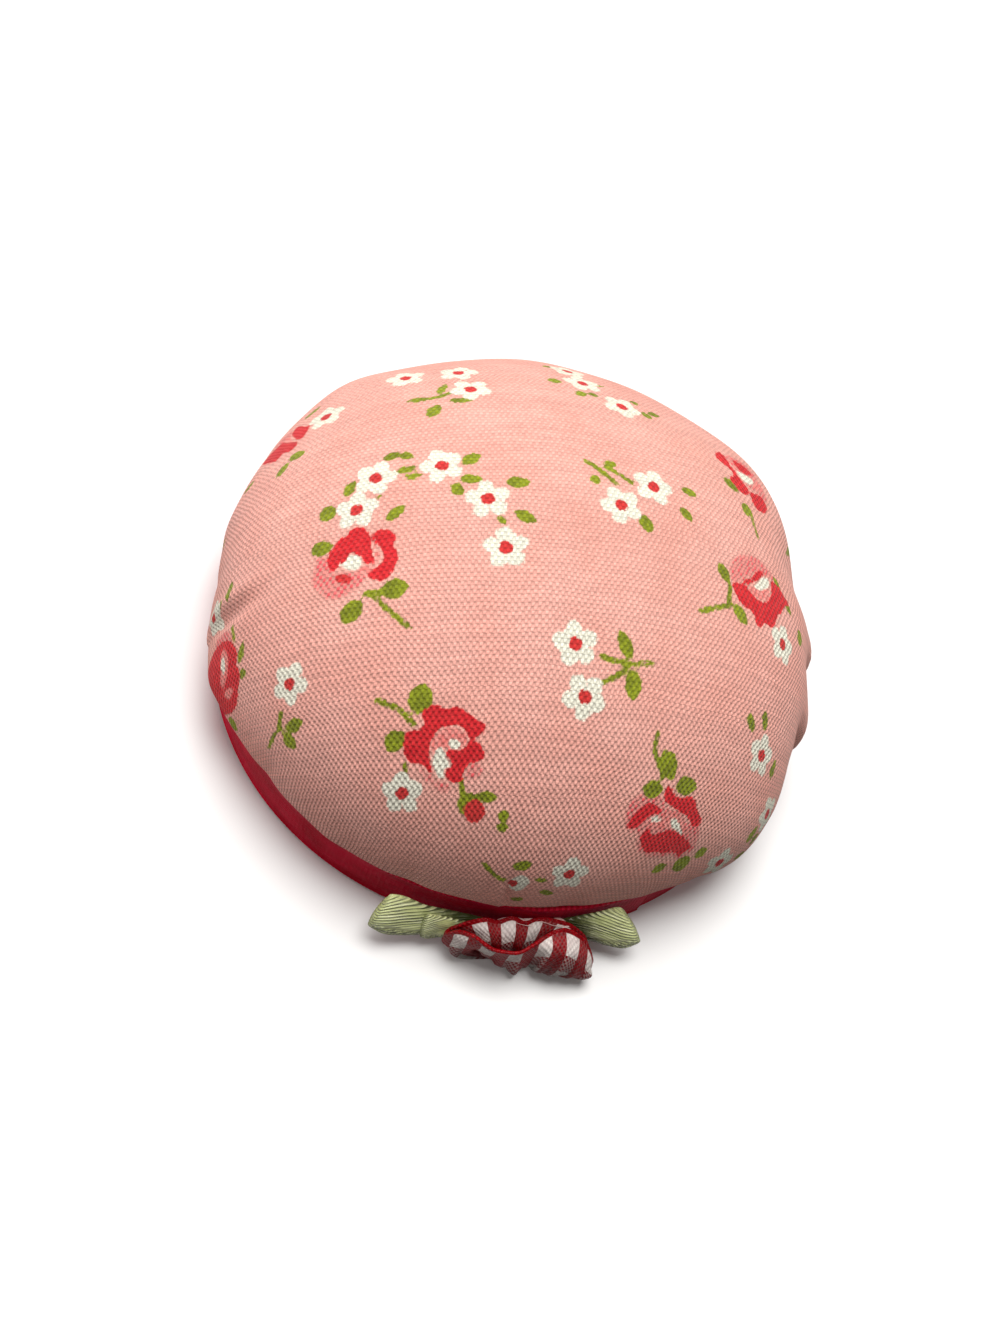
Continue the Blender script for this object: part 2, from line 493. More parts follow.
ROSE_CUP = {
    "middle": (25.8, 11.9),
    "speckle": [
        [(23.1, 14.6), (24.2, 15.7), (27.5, 15.9), (29.5, 14.0), (30.5, 11.5), (29.8, 10.6), (28.4, 11.0),
         (26.5, 10.6), (25.4, 11.2), (24.2, 12.6), (23.6, 13.4)]],
    "rose": [
        [(24.6, 15.0), (25.7, 15.2), (27.2, 15.1), (27.9, 14.6), (27.4, 13.8), (26.1, 13.1), (25.0, 13.3),
         (24.3, 14.1)],
        [(22.3, 15.3), (23.0, 14.6), (23.4, 13.2), (24.1, 12.1), (25.0, 11.0), (25.9, 10.1), (25.7, 9.2),
         (24.7, 8.7), (23.4, 9.2), (22.6, 10.3), (23.4, 11.2), (23.2, 12.1), (22.1, 12.6), (21.1, 13.4),
         (21.4, 14.6)],
        [(26.3, 10.0), (27.4, 10.3), (28.6, 10.8), (29.7, 10.3), (29.9, 9.2), (29.2, 8.3), (28.1, 7.7),
         (27.0, 7.7), (26.3, 8.6)]],
    "blush": [[(28.2, 11.2), (28.9, 11.9), (29.6, 12.9), (28.4, 13.2), (27.9, 12.4), (27.2, 11.6)]],
    "light": [
        [(24.3, 12.6), (25.7, 12.9), (27.2, 13.1), (27.9, 13.0), (27.4, 12.1), (26.3, 11.3), (25.4, 11.4),
         (24.7, 11.9)]],
}
ROSE_SIDE = {
    "middle": (-45.5, -16),
    "speckle": [
        [(-47.4, -10.4), (-45.2, -9.9), (-43.4, -10.8), (-42.4, -11.9), (-43.6, -12.7), (-46.8, -12.4)]],
    "rose": [
        [(-47.6, -11.6), (-45.6, -11.2), (-43.6, -11.8), (-42.6, -12.9), (-42.1, -14.3), (-42.5, -15.6),
         (-42.0, -16.8), (-42.4, -18.1), (-43.0, -19.2), (-43.6, -20.5), (-45.4, -21.3), (-48.4, -20.8),
         (-50.2, -18.8), (-50.6, -15.4), (-49.8, -12.8)]],
    "blush": [
        [(-45.4, -12.5), (-44.6, -12.8), (-44.2, -14.2), (-44.6, -15.6), (-45.4, -16.8), (-46.4, -17.5),
         (-46.7, -16.4), (-46.0, -14.8), (-45.9, -13.4)],
        [(-46.5, -18.4), (-45.2, -18.0), (-44.0, -18.3), (-44.3, -18.9), (-45.4, -19.4)]],
    "light": [[(-45.5, -13.5), (-45.0, -13.8), (-45.1, -15.1), (-45.7, -15.8), (-46.0, -14.6)]],
}
ROSE_HALF = {
    "middle": (-36, 18.5),
    "speckle": [[(-38.4, 20.4), (-37.0, 21.8), (-35.0, 21.6), (-34.8, 20.2), (-35.2, 18.8), (-36.6, 20.0)]],
    "rose": [
        [(-40.0, 19.0), (-38.7, 19.7), (-37.3, 19.9), (-36.2, 19.7), (-35.1, 18.3), (-33.8, 17.0),
         (-33.3, 15.7), (-34.4, 14.9), (-35.6, 15.7), (-36.7, 14.8), (-38.0, 15.9), (-39.3, 17.2),
         (-40.0, 18.1)],
        [(-34.4, 21.4), (-33.8, 21.9), (-32.7, 20.3), (-31.7, 19.4), (-31.9, 18.1), (-32.7, 16.8),
         (-33.6, 17.4), (-34.2, 18.8), (-34.7, 20.1)]],
    "blush": [[(-35.8, 19.4), (-35.0, 20.0), (-34.7, 18.6), (-33.8, 17.4), (-34.7, 17.7)]],
}

# Points on a drawn outline for each place given for it, and how far a rose reaches from its middle
PATCH_STEPS = 4
ROSE_REACH = 9.0
# Drawing, middle and turn in degrees of each rose
ROSES = [
    (ROSE_TALL, -24, -7, 0), (ROSE_ROUND, -14.4, -28.7, 0), (ROSE_WIDE, 14.4, -36.2, 0),
    (ROSE_OPEN, 25.6, -6.4, 0), (ROSE_CUP, 25.8, 11.9, 0), (ROSE_SIDE, -45.5, -16, 0),
    (ROSE_HALF, -36, 18.5, 0), (ROSE_WIDE, -19.5, 41, 160), (ROSE_TALL, 7.5, 42.5, 200),
    (ROSE_ROUND, 38.5, 23.5, 250),
]
# A bud: what it is printed in, its place from the bud's middle, its half sizes and its tilt
BUD = (-10.7, -36.1)
BUD_OVALS = [("leaf", -0.5, 0.5, 1.5, 1.4, 0), ("mark", 0.1, -0.2, 1.3, 1.4, 20)]
FOLDED_DAISY = {
    "light": [(-4.7, -45.4), (-3.8, -44.6), (-2.7, -45.0), (-2.3, -45.9), (-2.7, -46.9), (-3.4, -47.8),
              (-4.5, -47.5), (-5.0, -46.5)],
    "mark": [(-5.0, -46.0), (-4.2, -45.6), (-3.8, -46.3), (-4.3, -47.0), (-5.0, -46.8)],
}
LEAF_GROWTH = 1.2


def oval_ink(x, y, middle_x, middle_y, half_width, half_height, tilt):
    """Signed distance inside an oval, positive inside."""
    turn = math.radians(tilt)
    across = (x - middle_x) * math.cos(turn) + (y - middle_y) * math.sin(turn)
    up = (y - middle_y) * math.cos(turn) - (x - middle_x) * math.sin(turn)
    return (1 - np.hypot(across / half_width, up / half_height)) * min(half_width, half_height)


def leaf_ink(x, y, middle_x, middle_y, length, width, direction):
    """Signed distance inside a leaf pointed at both ends, widest before its middle."""
    turn = math.radians(direction)
    along = ((x - middle_x) * math.cos(turn) + (y - middle_y) * math.sin(turn)) / (length / 2)
    across = np.abs((y - middle_y) * math.cos(turn) - (x - middle_x) * math.sin(turn))
    lean = np.clip(along + 0.15, -1.2, 1.2)
    edge = LEAF_GROWTH * width / 2 * (1 - np.abs(lean) ** 2.2)
    ends = (1 - np.abs(along)) * length / 3
    return np.minimum(edge - across, ends)


def patch_ink(x, y, outline):
    """Signed distance inside a smooth closed outline, positive inside."""
    flat_outline = [(point_x, point_y, 0) for point_x, point_y in outline]
    corners = smooth_line(flat_outline, PATCH_STEPS * len(outline), closed=True)[0][:, :2]
    nearest = np.full_like(x, FAR)
    inside = np.zeros(x.shape, bool)
    for start, end in zip(corners, np.roll(corners, -1, axis=0)):
        nearest = np.minimum(nearest, from_segment(x, y, start, end)[1])
        run_x, run_y = end - start
        crossed = (start[1] > y) != (end[1] > y)
        inside ^= crossed & (x - start[0] < run_x * (y - start[1]) / (run_y if run_y else 1.0))
    return np.where(inside, nearest, -nearest)


def stem_ink(x, y, points, width):
    """Signed distance inside a stroke through the points."""
    nearest = np.full_like(x, FAR)
    for start, end in zip(points, points[1:]):
        nearest = np.minimum(nearest, from_segment(x, y, start, end)[1])
    return width / 2 - nearest


def daisy_ink(x, y, middle_x, middle_y, turn):
    """Signed distance inside five blunt petals, one of them pointing along turn."""
    ink = oval_ink(x, y, middle_x, middle_y, DAISY_HEART, DAISY_HEART, 0)
    for petal in range(5):
        direction = turn + 72 * petal
        petal_x = middle_x + PETAL_DISTANCE * math.cos(math.radians(direction))
        petal_y = middle_y + PETAL_DISTANCE * math.sin(math.radians(direction))
        ink = np.maximum(ink, oval_ink(x, y, petal_x, petal_y, PETAL_LENGTH, PETAL_WIDTH, direction))
    return ink


def all_inks(x, y):
    """Signed distance inside each printed colour at every point of the flat cloth."""
    nothing = np.full_like(x, -9.0)
    inks = {name: nothing.copy() for name in ("rose", "blush", "light", "mark", "speckle", "leaf")}

    def put(layer, shape):
        inks[layer] = np.maximum(inks[layer], shape)

    for leaf in LEAVES:
        put("leaf", leaf_ink(x, y, *leaf))
    for points in STEMS:
        put("leaf", stem_ink(x, y, points, STEM_WIDTH))
    for drawing, middle_x, middle_y, turn in ROSES:
        cosine, sine = math.cos(math.radians(turn)), math.sin(math.radians(turn))
        near = np.hypot(x - middle_x, y - middle_y) < ROSE_REACH
        away_x, away_y = x[near] - middle_x, y[near] - middle_y
        own_x, own_y = drawing["middle"]
        local_x = own_x + away_x * cosine + away_y * sine
        local_y = own_y + away_y * cosine - away_x * sine
        for layer in ("speckle", "rose", "blush", "light", "mark"):
            for outline in drawing.get(layer, []):
                shape = patch_ink(local_x, local_y, outline)
                inks[layer][near] = np.maximum(inks[layer][near], shape)
    for middle_x, middle_y, turn in DAISIES:
        put("light", daisy_ink(x, y, middle_x, middle_y, turn))
        put("mark", oval_ink(x, y, middle_x, middle_y, DAISY_EYE, DAISY_EYE, 0))
    for layer, outline in FOLDED_DAISY.items():
        put(layer, patch_ink(x, y, outline))
    for layer, across, up, half_width, half_height, tilt in BUD_OVALS:
        put(layer, oval_ink(x, y, BUD[0] + across, BUD[1] + up, half_width, half_height, tilt))
    return inks


# ---------------------------------------------------------------- materials

def linear(red, green, blue):
    """A screen colour in 0 to 255 as the shader's linear colour."""
    def one(value):
        value /= 255
        return value / 12.92 if value <= 0.04045 else ((value + 0.055) / 1.055) ** 2.4
    return one(red), one(green), one(blue), 1.0


class Shader:
    """A material's node tree, with a short call for each kind of node."""

    def __init__(self, name):
        self.material = bpy.data.materials.new(name)
        self.material.use_nodes = True
        self.nodes = self.material.node_tree.nodes
        self.links = self.material.node_tree.links
        self.surface = self.nodes["Principled BSDF"]

    def put(self, socket, value):
        """Link a node's output to an input, or set the input to a value."""
        if isinstance(value, bpy.types.NodeSocket):
            self.links.new(value, socket)
        else:
            socket.default_value = value

    def node(self, kind, output, settings=(), **inputs):
        """A new node with its settings and inputs, and one of its outputs."""
        made = self.nodes.new(kind)
        for key, value in dict(settings).items():
            setattr(made, key, value)
        for key, value in inputs.items():
            self.put(made.inputs[key.replace("_", " ")], value)
        return made.outputs[output]

    def maths(self, operation, *values):
        """A Math node."""
        made = self.nodes.new("ShaderNodeMath")
        made.operation = operation
        for socket, value in zip(made.inputs, values):
            self.put(socket, value)
        return made.outputs[0]

    def attribute(self, name, output="Fac"):
        """A value stored on the mesh."""
        return self.node("ShaderNodeAttribute", output, {"attribute_name": name})

    def ramp(self, value, low, high, bottom=0.0, top=1.0):
        """A value stretched smoothly from one range to another."""
        made = self.nodes.new("ShaderNodeMapRange")
        made.interpolation_type = "SMOOTHSTEP"
        for socket, number in zip(made.inputs, (value, low, high, bottom, top)):
            self.put(socket, number)
        return made.outputs[0]

    def mix(self, factor, first, second, blend="MIX"):
        """A colour mixed from two."""
        made = self.nodes.new("ShaderNodeMix")
        made.data_type = "RGBA"
        made.blend_type = blend
        self.put(made.inputs["Factor"], factor)
        self.put(made.inputs["A"], first)
        self.put(made.inputs["B"], second)
        return made.outputs["Result"]

    def times(self, first, second):
        """The product of two values."""
        return self.maths("MULTIPLY", first, second)

    def plus(self, first, second):
        """The sum of two values."""
        return self.maths("ADD", first, second)

    def minus(self, first, second):
        """The first value less the second."""
        return self.maths("SUBTRACT", first, second)

    def shaded(self, colour, value):
        """A colour multiplied by a value."""
        return self.mix(1.0, colour, self.join(value, value, value), "MULTIPLY")

    def split(self, vector):
        """The three parts of a vector."""
        made = self.nodes.new("ShaderNodeSeparateXYZ")
        self.put(made.inputs[0], vector)
        return tuple(made.outputs)

    def join(self, x, y, z=0.0):
        """A vector from its parts."""
        made = self.nodes.new("ShaderNodeCombineXYZ")
        for socket, value in zip(made.inputs, (x, y, z)):
            self.put(socket, value)
        return made.outputs[0]

    def noise(self, vector, scale, detail=2.0, roughness=0.5):
        """A soft noise from 0 to 1."""
        return self.node("ShaderNodeTexNoise", "Fac", {}, Vector=vector, Scale=scale,
                         Detail=detail, Roughness=roughness)

    def dice(self, vector):
        """A random value for each whole-numbered cell."""
        return self.node("ShaderNodeTexWhiteNoise", "Value", {}, Vector=vector)

    def bump(self, height, depth, normal=None):
        """Normals tilted by a height from 0 to 1, which is worth depth in millimetres."""
        made = self.nodes.new("ShaderNodeBump")
        made.inputs["Strength"].default_value = 1.0
        made.inputs["Distance"].default_value = depth * MM
        self.put(made.inputs["Height"], height)
        if normal is not None:
            self.put(made.inputs["Normal"], normal)
        return made.outputs[0]

    def finish(self, **inputs):
        """Set the surface shader's inputs."""
        for key, value in inputs.items():
            self.put(self.surface.inputs[key.replace("_", " ")], value)
        return self.material


# Printed cotton
CLOTH_PINK = linear(247, 182, 168)
CLOTH_DEEP = linear(243, 173, 158)
PETAL_WHITE = linear(244, 241, 222)
ROSE_RED = linear(226, 50, 54)
ROSE_DEEP = linear(214, 36, 44)
MARK_RED = linear(214, 56, 54)
SPECKLE_RED = linear(232, 96, 100)
BLUSH_PINK = linear(250, 158, 148)
LEAF_GREEN = linear(146, 156, 34)
LEAF_OLIVE = linear(124, 132, 30)

# Sage satin
LEAF_DARK = linear(62, 68, 28)
LEAF_SHADE = linear(138, 148, 84)
LEAF_SAGE = linear(220, 228, 158)
LEAF_LIGHT = linear(250, 254, 202)

# Weave, in threads: how far a thread leans within its row, how far a row slips along itself
# and how far the threads wander
THREAD_LEAN = 0.22
THREAD_SLIP = 0.55
THREAD_WANDER = 3.0
# How uneven the print's edge is from thread to thread in mm
THREAD_JITTER = 0.22
# Powers of the weave's waves across and up the cloth: under 1 is squarer, over 1 is rounder
LONG_CURVE = 0.55
SLIM_CURVE = 1.1
# Depth of the weave and of its fibres in mm
WEAVE_DEPTH = 0.13
FIBRE_DEPTH = 0.02


def weave(shader, across, up):
    """Plain weave: 1 on a cross thread and -1 on a lengthways one, how far inside its row, and the cell."""
    lean = shader.times(shader.minus(up, shader.maths("ROUND", up)), THREAD_LEAN)
    across = shader.minus(across, lean)
    column = shader.maths("COSINE", shader.times(across, math.pi))
    row = shader.maths("COSINE", shader.times(up, math.pi))
    side = shader.maths("SIGN", shader.times(column, row))
    long = shader.maths("POWER", shader.maths("ABSOLUTE", column), LONG_CURVE)
    slim = shader.maths("POWER", shader.maths("ABSOLUTE", row), SLIM_CURVE)
    float_height = shader.times(shader.times(long, slim), side)
    cell = shader.join(shader.maths("ROUND", across), shader.maths("ROUND", up))
    return float_height, shader.maths("ABSOLUTE", row), cell


def printed_cotton():
    """Plain-woven cotton printed with roses, daisies and leaves."""
    shader = Shader("printed_cotton")
    flat = shader.attribute("flat", "Vector")
    x, y, _ = shader.split(flat)

    def wander(scale):
        return shader.times(shader.minus(shader.noise(flat, scale, 2.0), 0.5), THREAD_WANDER)

    drift = wander(0.08)
    sway = wander(0.11)
    across = shader.plus(shader.maths("DIVIDE", x, COLUMN_PITCH), sway)
    up = shader.plus(shader.maths("DIVIDE", y, ROW_PITCH), drift)
    slip = shader.dice(shader.join(2.0, shader.maths("ROUND", up)))
    across = shader.plus(across, shader.times(slip, THREAD_SLIP))
    floats, row, cell = weave(shader, across, up)
    chance = shader.dice(cell)
    jitter = shader.times(shader.minus(chance, 0.5), THREAD_JITTER)

    def ink(layer, soft=0.13):
        return shader.ramp(shader.plus(shader.attribute(layer), jitter), -soft, soft)

    tone = shader.noise(flat, 0.12, 3.0)
    base = shader.mix(shader.ramp(tone, 0.3, 0.7), CLOTH_PINK, CLOTH_DEEP)
    weft_share = shader.ramp(floats, -0.3, 0.5, 0.35, 1.0)
    speckled = shader.times(ink("speckle", 0.35), shader.ramp(chance, 0.1, 0.7, 0.5, 1.0))
    colour = shader.mix(shader.times(speckled, weft_share), base, SPECKLE_RED)
    green = shader.mix(shader.ramp(shader.noise(flat, 0.5, 2.0), 0.4, 0.65), LEAF_GREEN, LEAF_OLIVE)
    colour = shader.mix(ink("leaf"), colour, green)
    red = shader.mix(shader.ramp(shader.noise(flat, 0.9, 3.0), 0.35, 0.65), ROSE_RED, ROSE_DEEP)
    colour = shader.mix(ink("rose"), colour, red)
    blushed = shader.mix(shader.ramp(chance, 0.2, 0.9, 0.0, 0.4), BLUSH_PINK, ROSE_RED)
    colour = shader.mix(ink("blush", 0.22), colour, blushed)
    colour = shader.mix(ink("light"), colour, PETAL_WHITE)
    colour = shader.mix(ink("mark"), colour, MARK_RED)

    thread_shade = shader.ramp(floats, -0.8, 0.7, 0.85, 1.06)
    row_shade = shader.ramp(row, 0.0, 0.6, 0.72, 1.0)
    yarn = shader.ramp(shader.dice(shader.join(0.0, shader.maths("ROUND", up))), 0.0, 1.0, 0.94, 1.02)
    fleck = shader.ramp(chance, 0.0, 1.0, 0.95, 1.04)
    fibre = shader.ramp(shader.noise(flat, 6.0, 3.0, 0.7), 0.2, 0.8, 0.93, 1.05)
    slub = shader.noise(shader.join(shader.times(x, 0.25), shader.times(y, 2.2)), 1.0, 3.0, 0.6)
    value = shader.times(shader.times(thread_shade, row_shade), yarn)
    value = shader.times(value, shader.times(fleck, fibre))
    value = shader.times(value, shader.ramp(slub, 0.25, 0.75, 0.9, 1.06))
    normal = shader.bump(shader.ramp(floats, -1.0, 1.0), WEAVE_DEPTH)
    normal = shader.bump(shader.noise(flat, 14.0, 2.0, 0.7), FIBRE_DEPTH, normal)
    return shader.finish(Base_Color=shader.shaded(colour, value), Roughness=0.88, Sheen_Weight=0.1,
                         Sheen_Roughness=0.5, Specular_IOR_Level=0.2, Normal=normal)


# ---------------------------------------------------------------- pieces

def make_cover():
    """The stuffed cotton dome, closed underneath by its gathered hem."""
    direction, distance, sizes = cover_rings()
    points = cloth_surface(direction, distance)
    faces, last = ring_faces(sizes)
    points = np.concatenate([points, [[0, 0, HEM_TOP]]])
    count = sizes[-1]
    faces += [(last + (place + 1) % count, last + place, len(points) - 1) for place in range(count)]
    cover = mesh("cushion_cover", points, faces)
    x = np.append(distance * np.cos(np.radians(direction)), 0)
    y = np.append(distance * np.sin(np.radians(direction)), 0)
    store(cover, "flat", np.stack([x, y, np.zeros_like(x)], 1))
    for layer, values in all_inks(x, y).items():
        store(cover, layer, values)
    cover.data.materials.append(printed_cotton())
    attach(cover, "root")
    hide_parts("cotton_cover")


# Gap under the cover, distance from the top to the first row, and how far above the underside
# the place is that the lump shrinks towards
FILLING_CLEARANCE = 1.0
FILLING_START = 1.5
FILLING_MIDDLE = 4.0
FILLING_ROWS = 60
FILLING_COLUMNS = 96


def make_filling(white_fibre):
    """The stuffing, a closed lump just inside the cover."""
    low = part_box("fibre_filling")[0][2] / MM
    arc = np.linspace(FILLING_START, CROWN_ARC, FILLING_ROWS)[:, None]
    direction = np.linspace(0, 360, FILLING_COLUMNS, endpoint=False)[None]
    arc, direction = np.broadcast_arrays(arc, direction)
    skin = cloth_surface(direction, arc)
    middle = np.array([0, 0, low + FILLING_MIDDLE])
    reach = np.linalg.norm(skin - middle, axis=-1, keepdims=True)
    points = middle + (skin - middle) * (1 - FILLING_CLEARANCE / reach)
    points[..., 2] = np.maximum(points[..., 2], low)
    count = FILLING_ROWS * FILLING_COLUMNS
    faces = grid_faces(FILLING_ROWS, FILLING_COLUMNS, closed_columns=True)
    top, bottom = points[0].mean(axis=0), np.array([0, 0, low])
    for column in range(FILLING_COLUMNS):
        beside = (column + 1) % FILLING_COLUMNS
        edge = (FILLING_ROWS - 1) * FILLING_COLUMNS
        faces += [(column, count, beside), (edge + beside, edge + column, count + 1)]
    points = np.concatenate([points.reshape(-1, 3), [top, bottom]])
    filling = mesh("cushion_filling", points, turned_over(faces))
    filling.data.materials.append(white_fibre)
    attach(filling, "root")
    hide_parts("fibre_filling")


# ---------------------------------------------------------------- ribbon, leaves and rosette shapes

def grid_normals(grid, closed=False):
    """Unit normals of a surface given as a grid of points, row by row."""
    if closed:
        along = np.roll(grid, -1, 0) - np.roll(grid, 1, 0)
    else:
        along = np.gradient(grid, axis=0)
    return unit(np.cross(along, np.gradient(grid, axis=1)) + 1e-9)


def shell(name, grid, thickness, closed=False):
    """A thin closed piece of cloth around a grid of points, with its stored grid twice over."""
    rows, columns = grid.shape[:2]
    offset = grid_normals(grid, closed) * (np.asarray(thickness) / 2)[..., None]
    count = rows * columns
    points = np.concatenate([(grid + offset).reshape(-1, 3), (grid - offset).reshape(-1, 3)])
    front = grid_faces(rows, columns, closed_rows=closed)
    faces = front + [tuple(count + corner for corner in reversed(face)) for face in front]
    last = rows if closed else rows - 1
    for row in range(last):
        here, after = row * columns, (row + 1) % rows * columns
        faces.append((here, after, count + after, count + here))
        edge = columns - 1
        faces.append((here + edge, count + here + edge, count + after + edge, after + edge))
    if not closed:
        end = (rows - 1) * columns
        for column in range(columns - 1):
            faces.append((column + 1, column, count + column, count + column + 1))
            faces.append((end + column, end + column + 1, count + end + column + 1, count + end + column))
    return mesh(name, points, faces)


# Ribbon round the board: its inner radius, the thickness of a layer and its step in degrees
RIBBON_INNER = BOARD_HIGH[0]
RIBBON_LAYER = 0.28
RIBBON_STEP = 0.4
# Its lap: start, length and rise in degrees, and how many layers it is lifted
LAP_START = -88.0
LAP_LENGTH = 22.0
LAP_RISE = 5.0
LAP_LIFT = 1.15
# Waves round it: height, how many and phase, and their share in its height
RIBBON_WAVES = [(0.05, 7, 0), (0.04, 17, 1)]
EDGE_WAVE = 0.3
# Looped edges: how far they step up and down, and the share of the width from its middle to them
SCALLOP = 0.035
SCALLOP_START = 0.4
RIBBON_BULGE = 0.06
# Its top edge rises at the front and it is slack at the left: how far, direction and spread
RIM_RISE = (0.4, -90, 45.0)
RIBBON_SLACK = (0.42, -150, 42)
# Section of the ribbon: how far out as a share of a layer, and height as a share of the width
RIBBON_SECTION = [
    (0.6, 0.0), (1.15, 0.012), (1.3, 0.035), (1.22, 0.06), (0.98, 0.085), (0.96, 0.25), (0.97, 0.5),
    (0.96, 0.75), (0.98, 0.915), (1.22, 0.94), (1.32, 0.965), (1.15, 0.988), (0.5, 1.0), (-0.4, 1.0),
    (-1.0, 0.985), (-0.4, 0.965), (0.0, 0.93), (0.0, 0.5), (0.0, 0.15), (0.1, 0.02),
]


def swelling(angles, height, direction, spread):
    """A height that falls away on both sides of a direction."""
    return height * np.exp(-(angle_between(angles, direction) / spread) ** 2)[:, None]


def make_ribbon(satin):
    """Satin ribbon wound once round the board, its free end lapped over its start."""
    angles = np.arange(LAP_START, LAP_START + 360 + LAP_LENGTH + RIBBON_STEP / 2, RIBBON_STEP)
    turn = np.radians(angles)[:, None]
    section = np.array(RIBBON_SECTION)
    out, share = section[:, 0][None], section[:, 1][None]
    low, high = RIBBON_LOW[2], RIBBON_HIGH[2]
    lap = smooth_step((angles - LAP_START - 360 + LAP_RISE) / LAP_RISE)[:, None]
    waves = sum(height * np.sin(turn * count + phase) for height, count, phase in RIBBON_WAVES)
    sides = np.where(np.arange(len(angles)) % 2, 1, -1)[:, None]
    scallop = SCALLOP * sides * (np.abs(share - 0.5) > SCALLOP_START)
    rise = swelling(angles, *RIM_RISE) * share ** 3
    height = low + (high - low) * share + scallop + EDGE_WAVE * waves * share + rise
    bulge = RIBBON_BULGE * np.sin(math.pi * share)
    lift = lap * RIBBON_LAYER * LAP_LIFT + swelling(angles, *RIBBON_SLACK)
    radius = RIBBON_INNER + lift + out * RIBBON_LAYER + bulge
    points = np.stack([radius * np.cos(turn), radius * np.sin(turn), height], -1)
    rows, columns = points.shape[:2]
    faces = grid_faces(rows, columns, closed_columns=True) + end_faces(rows, columns)
    ribbon = mesh("ribbon_edging", points.reshape(-1, 3), faces)
    along = np.broadcast_to(turn * RIBBON_INNER, (rows, columns))
    across = np.broadcast_to(share * (high - low), (rows, columns))
    store(ribbon, "strip", np.stack([along, across, np.zeros_like(along)], -1).reshape(-1, 3))
    ribbon.data.materials.append(satin)
    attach(ribbon, "root")
    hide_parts("ribbon_band")


# Places near the rosette are sideways, outwards from the ribbon's face, and up
ROSETTE_GAP = 1.0
FRONT_FACE = -RIBBON_HIGH[0] - ROSETTE_GAP


def placed(points):
    """Sideways, outwards and up, turned into the frame's X, Y and Z."""
    points = np.asarray(points, float)
    return np.stack([points[..., 0], FRONT_FACE - points[..., 1], points[..., 2]], -1)


# Each leaf is ribbon folded over: its upper and lower edge from the rosette to the end fold,
# how far it swells, and the CAD node it stands for
LEAF_SHAPES = {
    "satin_leaf_right": (
        [(2.2, 0.0, 4.8), (3.9, -0.3, 5.5), (6.2, -0.7, 6.0), (8.4, -1.1, 6.4), (10.0, -1.5, 6.7),
         (10.8, -1.6, 6.8), (11.3, -1.5, 6.7)],
        [(2.2, 0.5, 3.6), (4.2, 0.5, 2.9), (6.2, 0.5, 2.5), (8.9, 0.9, 2.4), (10.6, 1.3, 2.3),
         (12.6, 1.6, 2.5), (14.3, 1.1, 3.3)],
        0.9, "leaf_right"),
    "satin_leaf_left_outer": (
        [(-2.2, 0.0, 4.1), (-5.4, -0.6, 4.6), (-10.0, -1.2, 5.2), (-12.0, -1.4, 5.6), (-14.3, -1.9, 6.5),
         (-15.8, -2.0, 6.8), (-16.4, -1.8, 6.6)],
        [(-2.2, 0.4, 3.2), (-5.0, 0.4, 2.6), (-8.0, 0.5, 2.3), (-12.0, 0.7, 2.1), (-14.3, 0.9, 2.2),
         (-16.3, 0.9, 2.5), (-18.1, 0.4, 3.5)],
        0.85, "leaf_left_outer"),
    "satin_leaf_left_inner": (
        [(-2.4, 0.4, 4.2), (-4.5, 0.2, 4.3), (-7.0, 0.0, 4.6), (-9.0, -0.2, 5.0), (-10.6, -0.3, 5.4),
         (-11.4, -0.3, 5.6), (-11.8, -0.2, 5.7)],
        [(-2.4, 0.9, 3.2), (-4.4, 0.9, 2.7), (-6.4, 0.9, 2.3), (-8.2, 0.9, 2.0), (-9.8, 0.9, 1.9),
         (-11.0, 1.1, 1.9), (-11.8, 1.1, 2.1)],
        0.6, "leaf_left_inner"),
}
LEAF_ROWS = 110
LEAF_COLUMNS = 120
LEAF_THICKNESS = 0.2
LEAF_OUTWARDS = (0, -1.0, 0.6)
LEAF_PLEATS = 12
PLEAT_DEPTH = 0.09
# Shares of the leaf's run over which the pleats start and over which they fade
PLEAT_START = 0.08
PLEAT_FADE = (0.68, 0.28)
# How far the end fold reaches, how far it bows out and where along the leaf the bow starts
END_FOLD = 0.4
END_BOW = 0.3
BOW_START = 0.6
# How full a leaf is at the rosette, and the share of its run over which it fills out
ROOT_FULLNESS = 0.35
FILL_OUT = 0.5
# The valley along a leaf: depth as a share of the swell, place and half width across the leaf
VALLEY = (0.3, 0.24, 0.06)


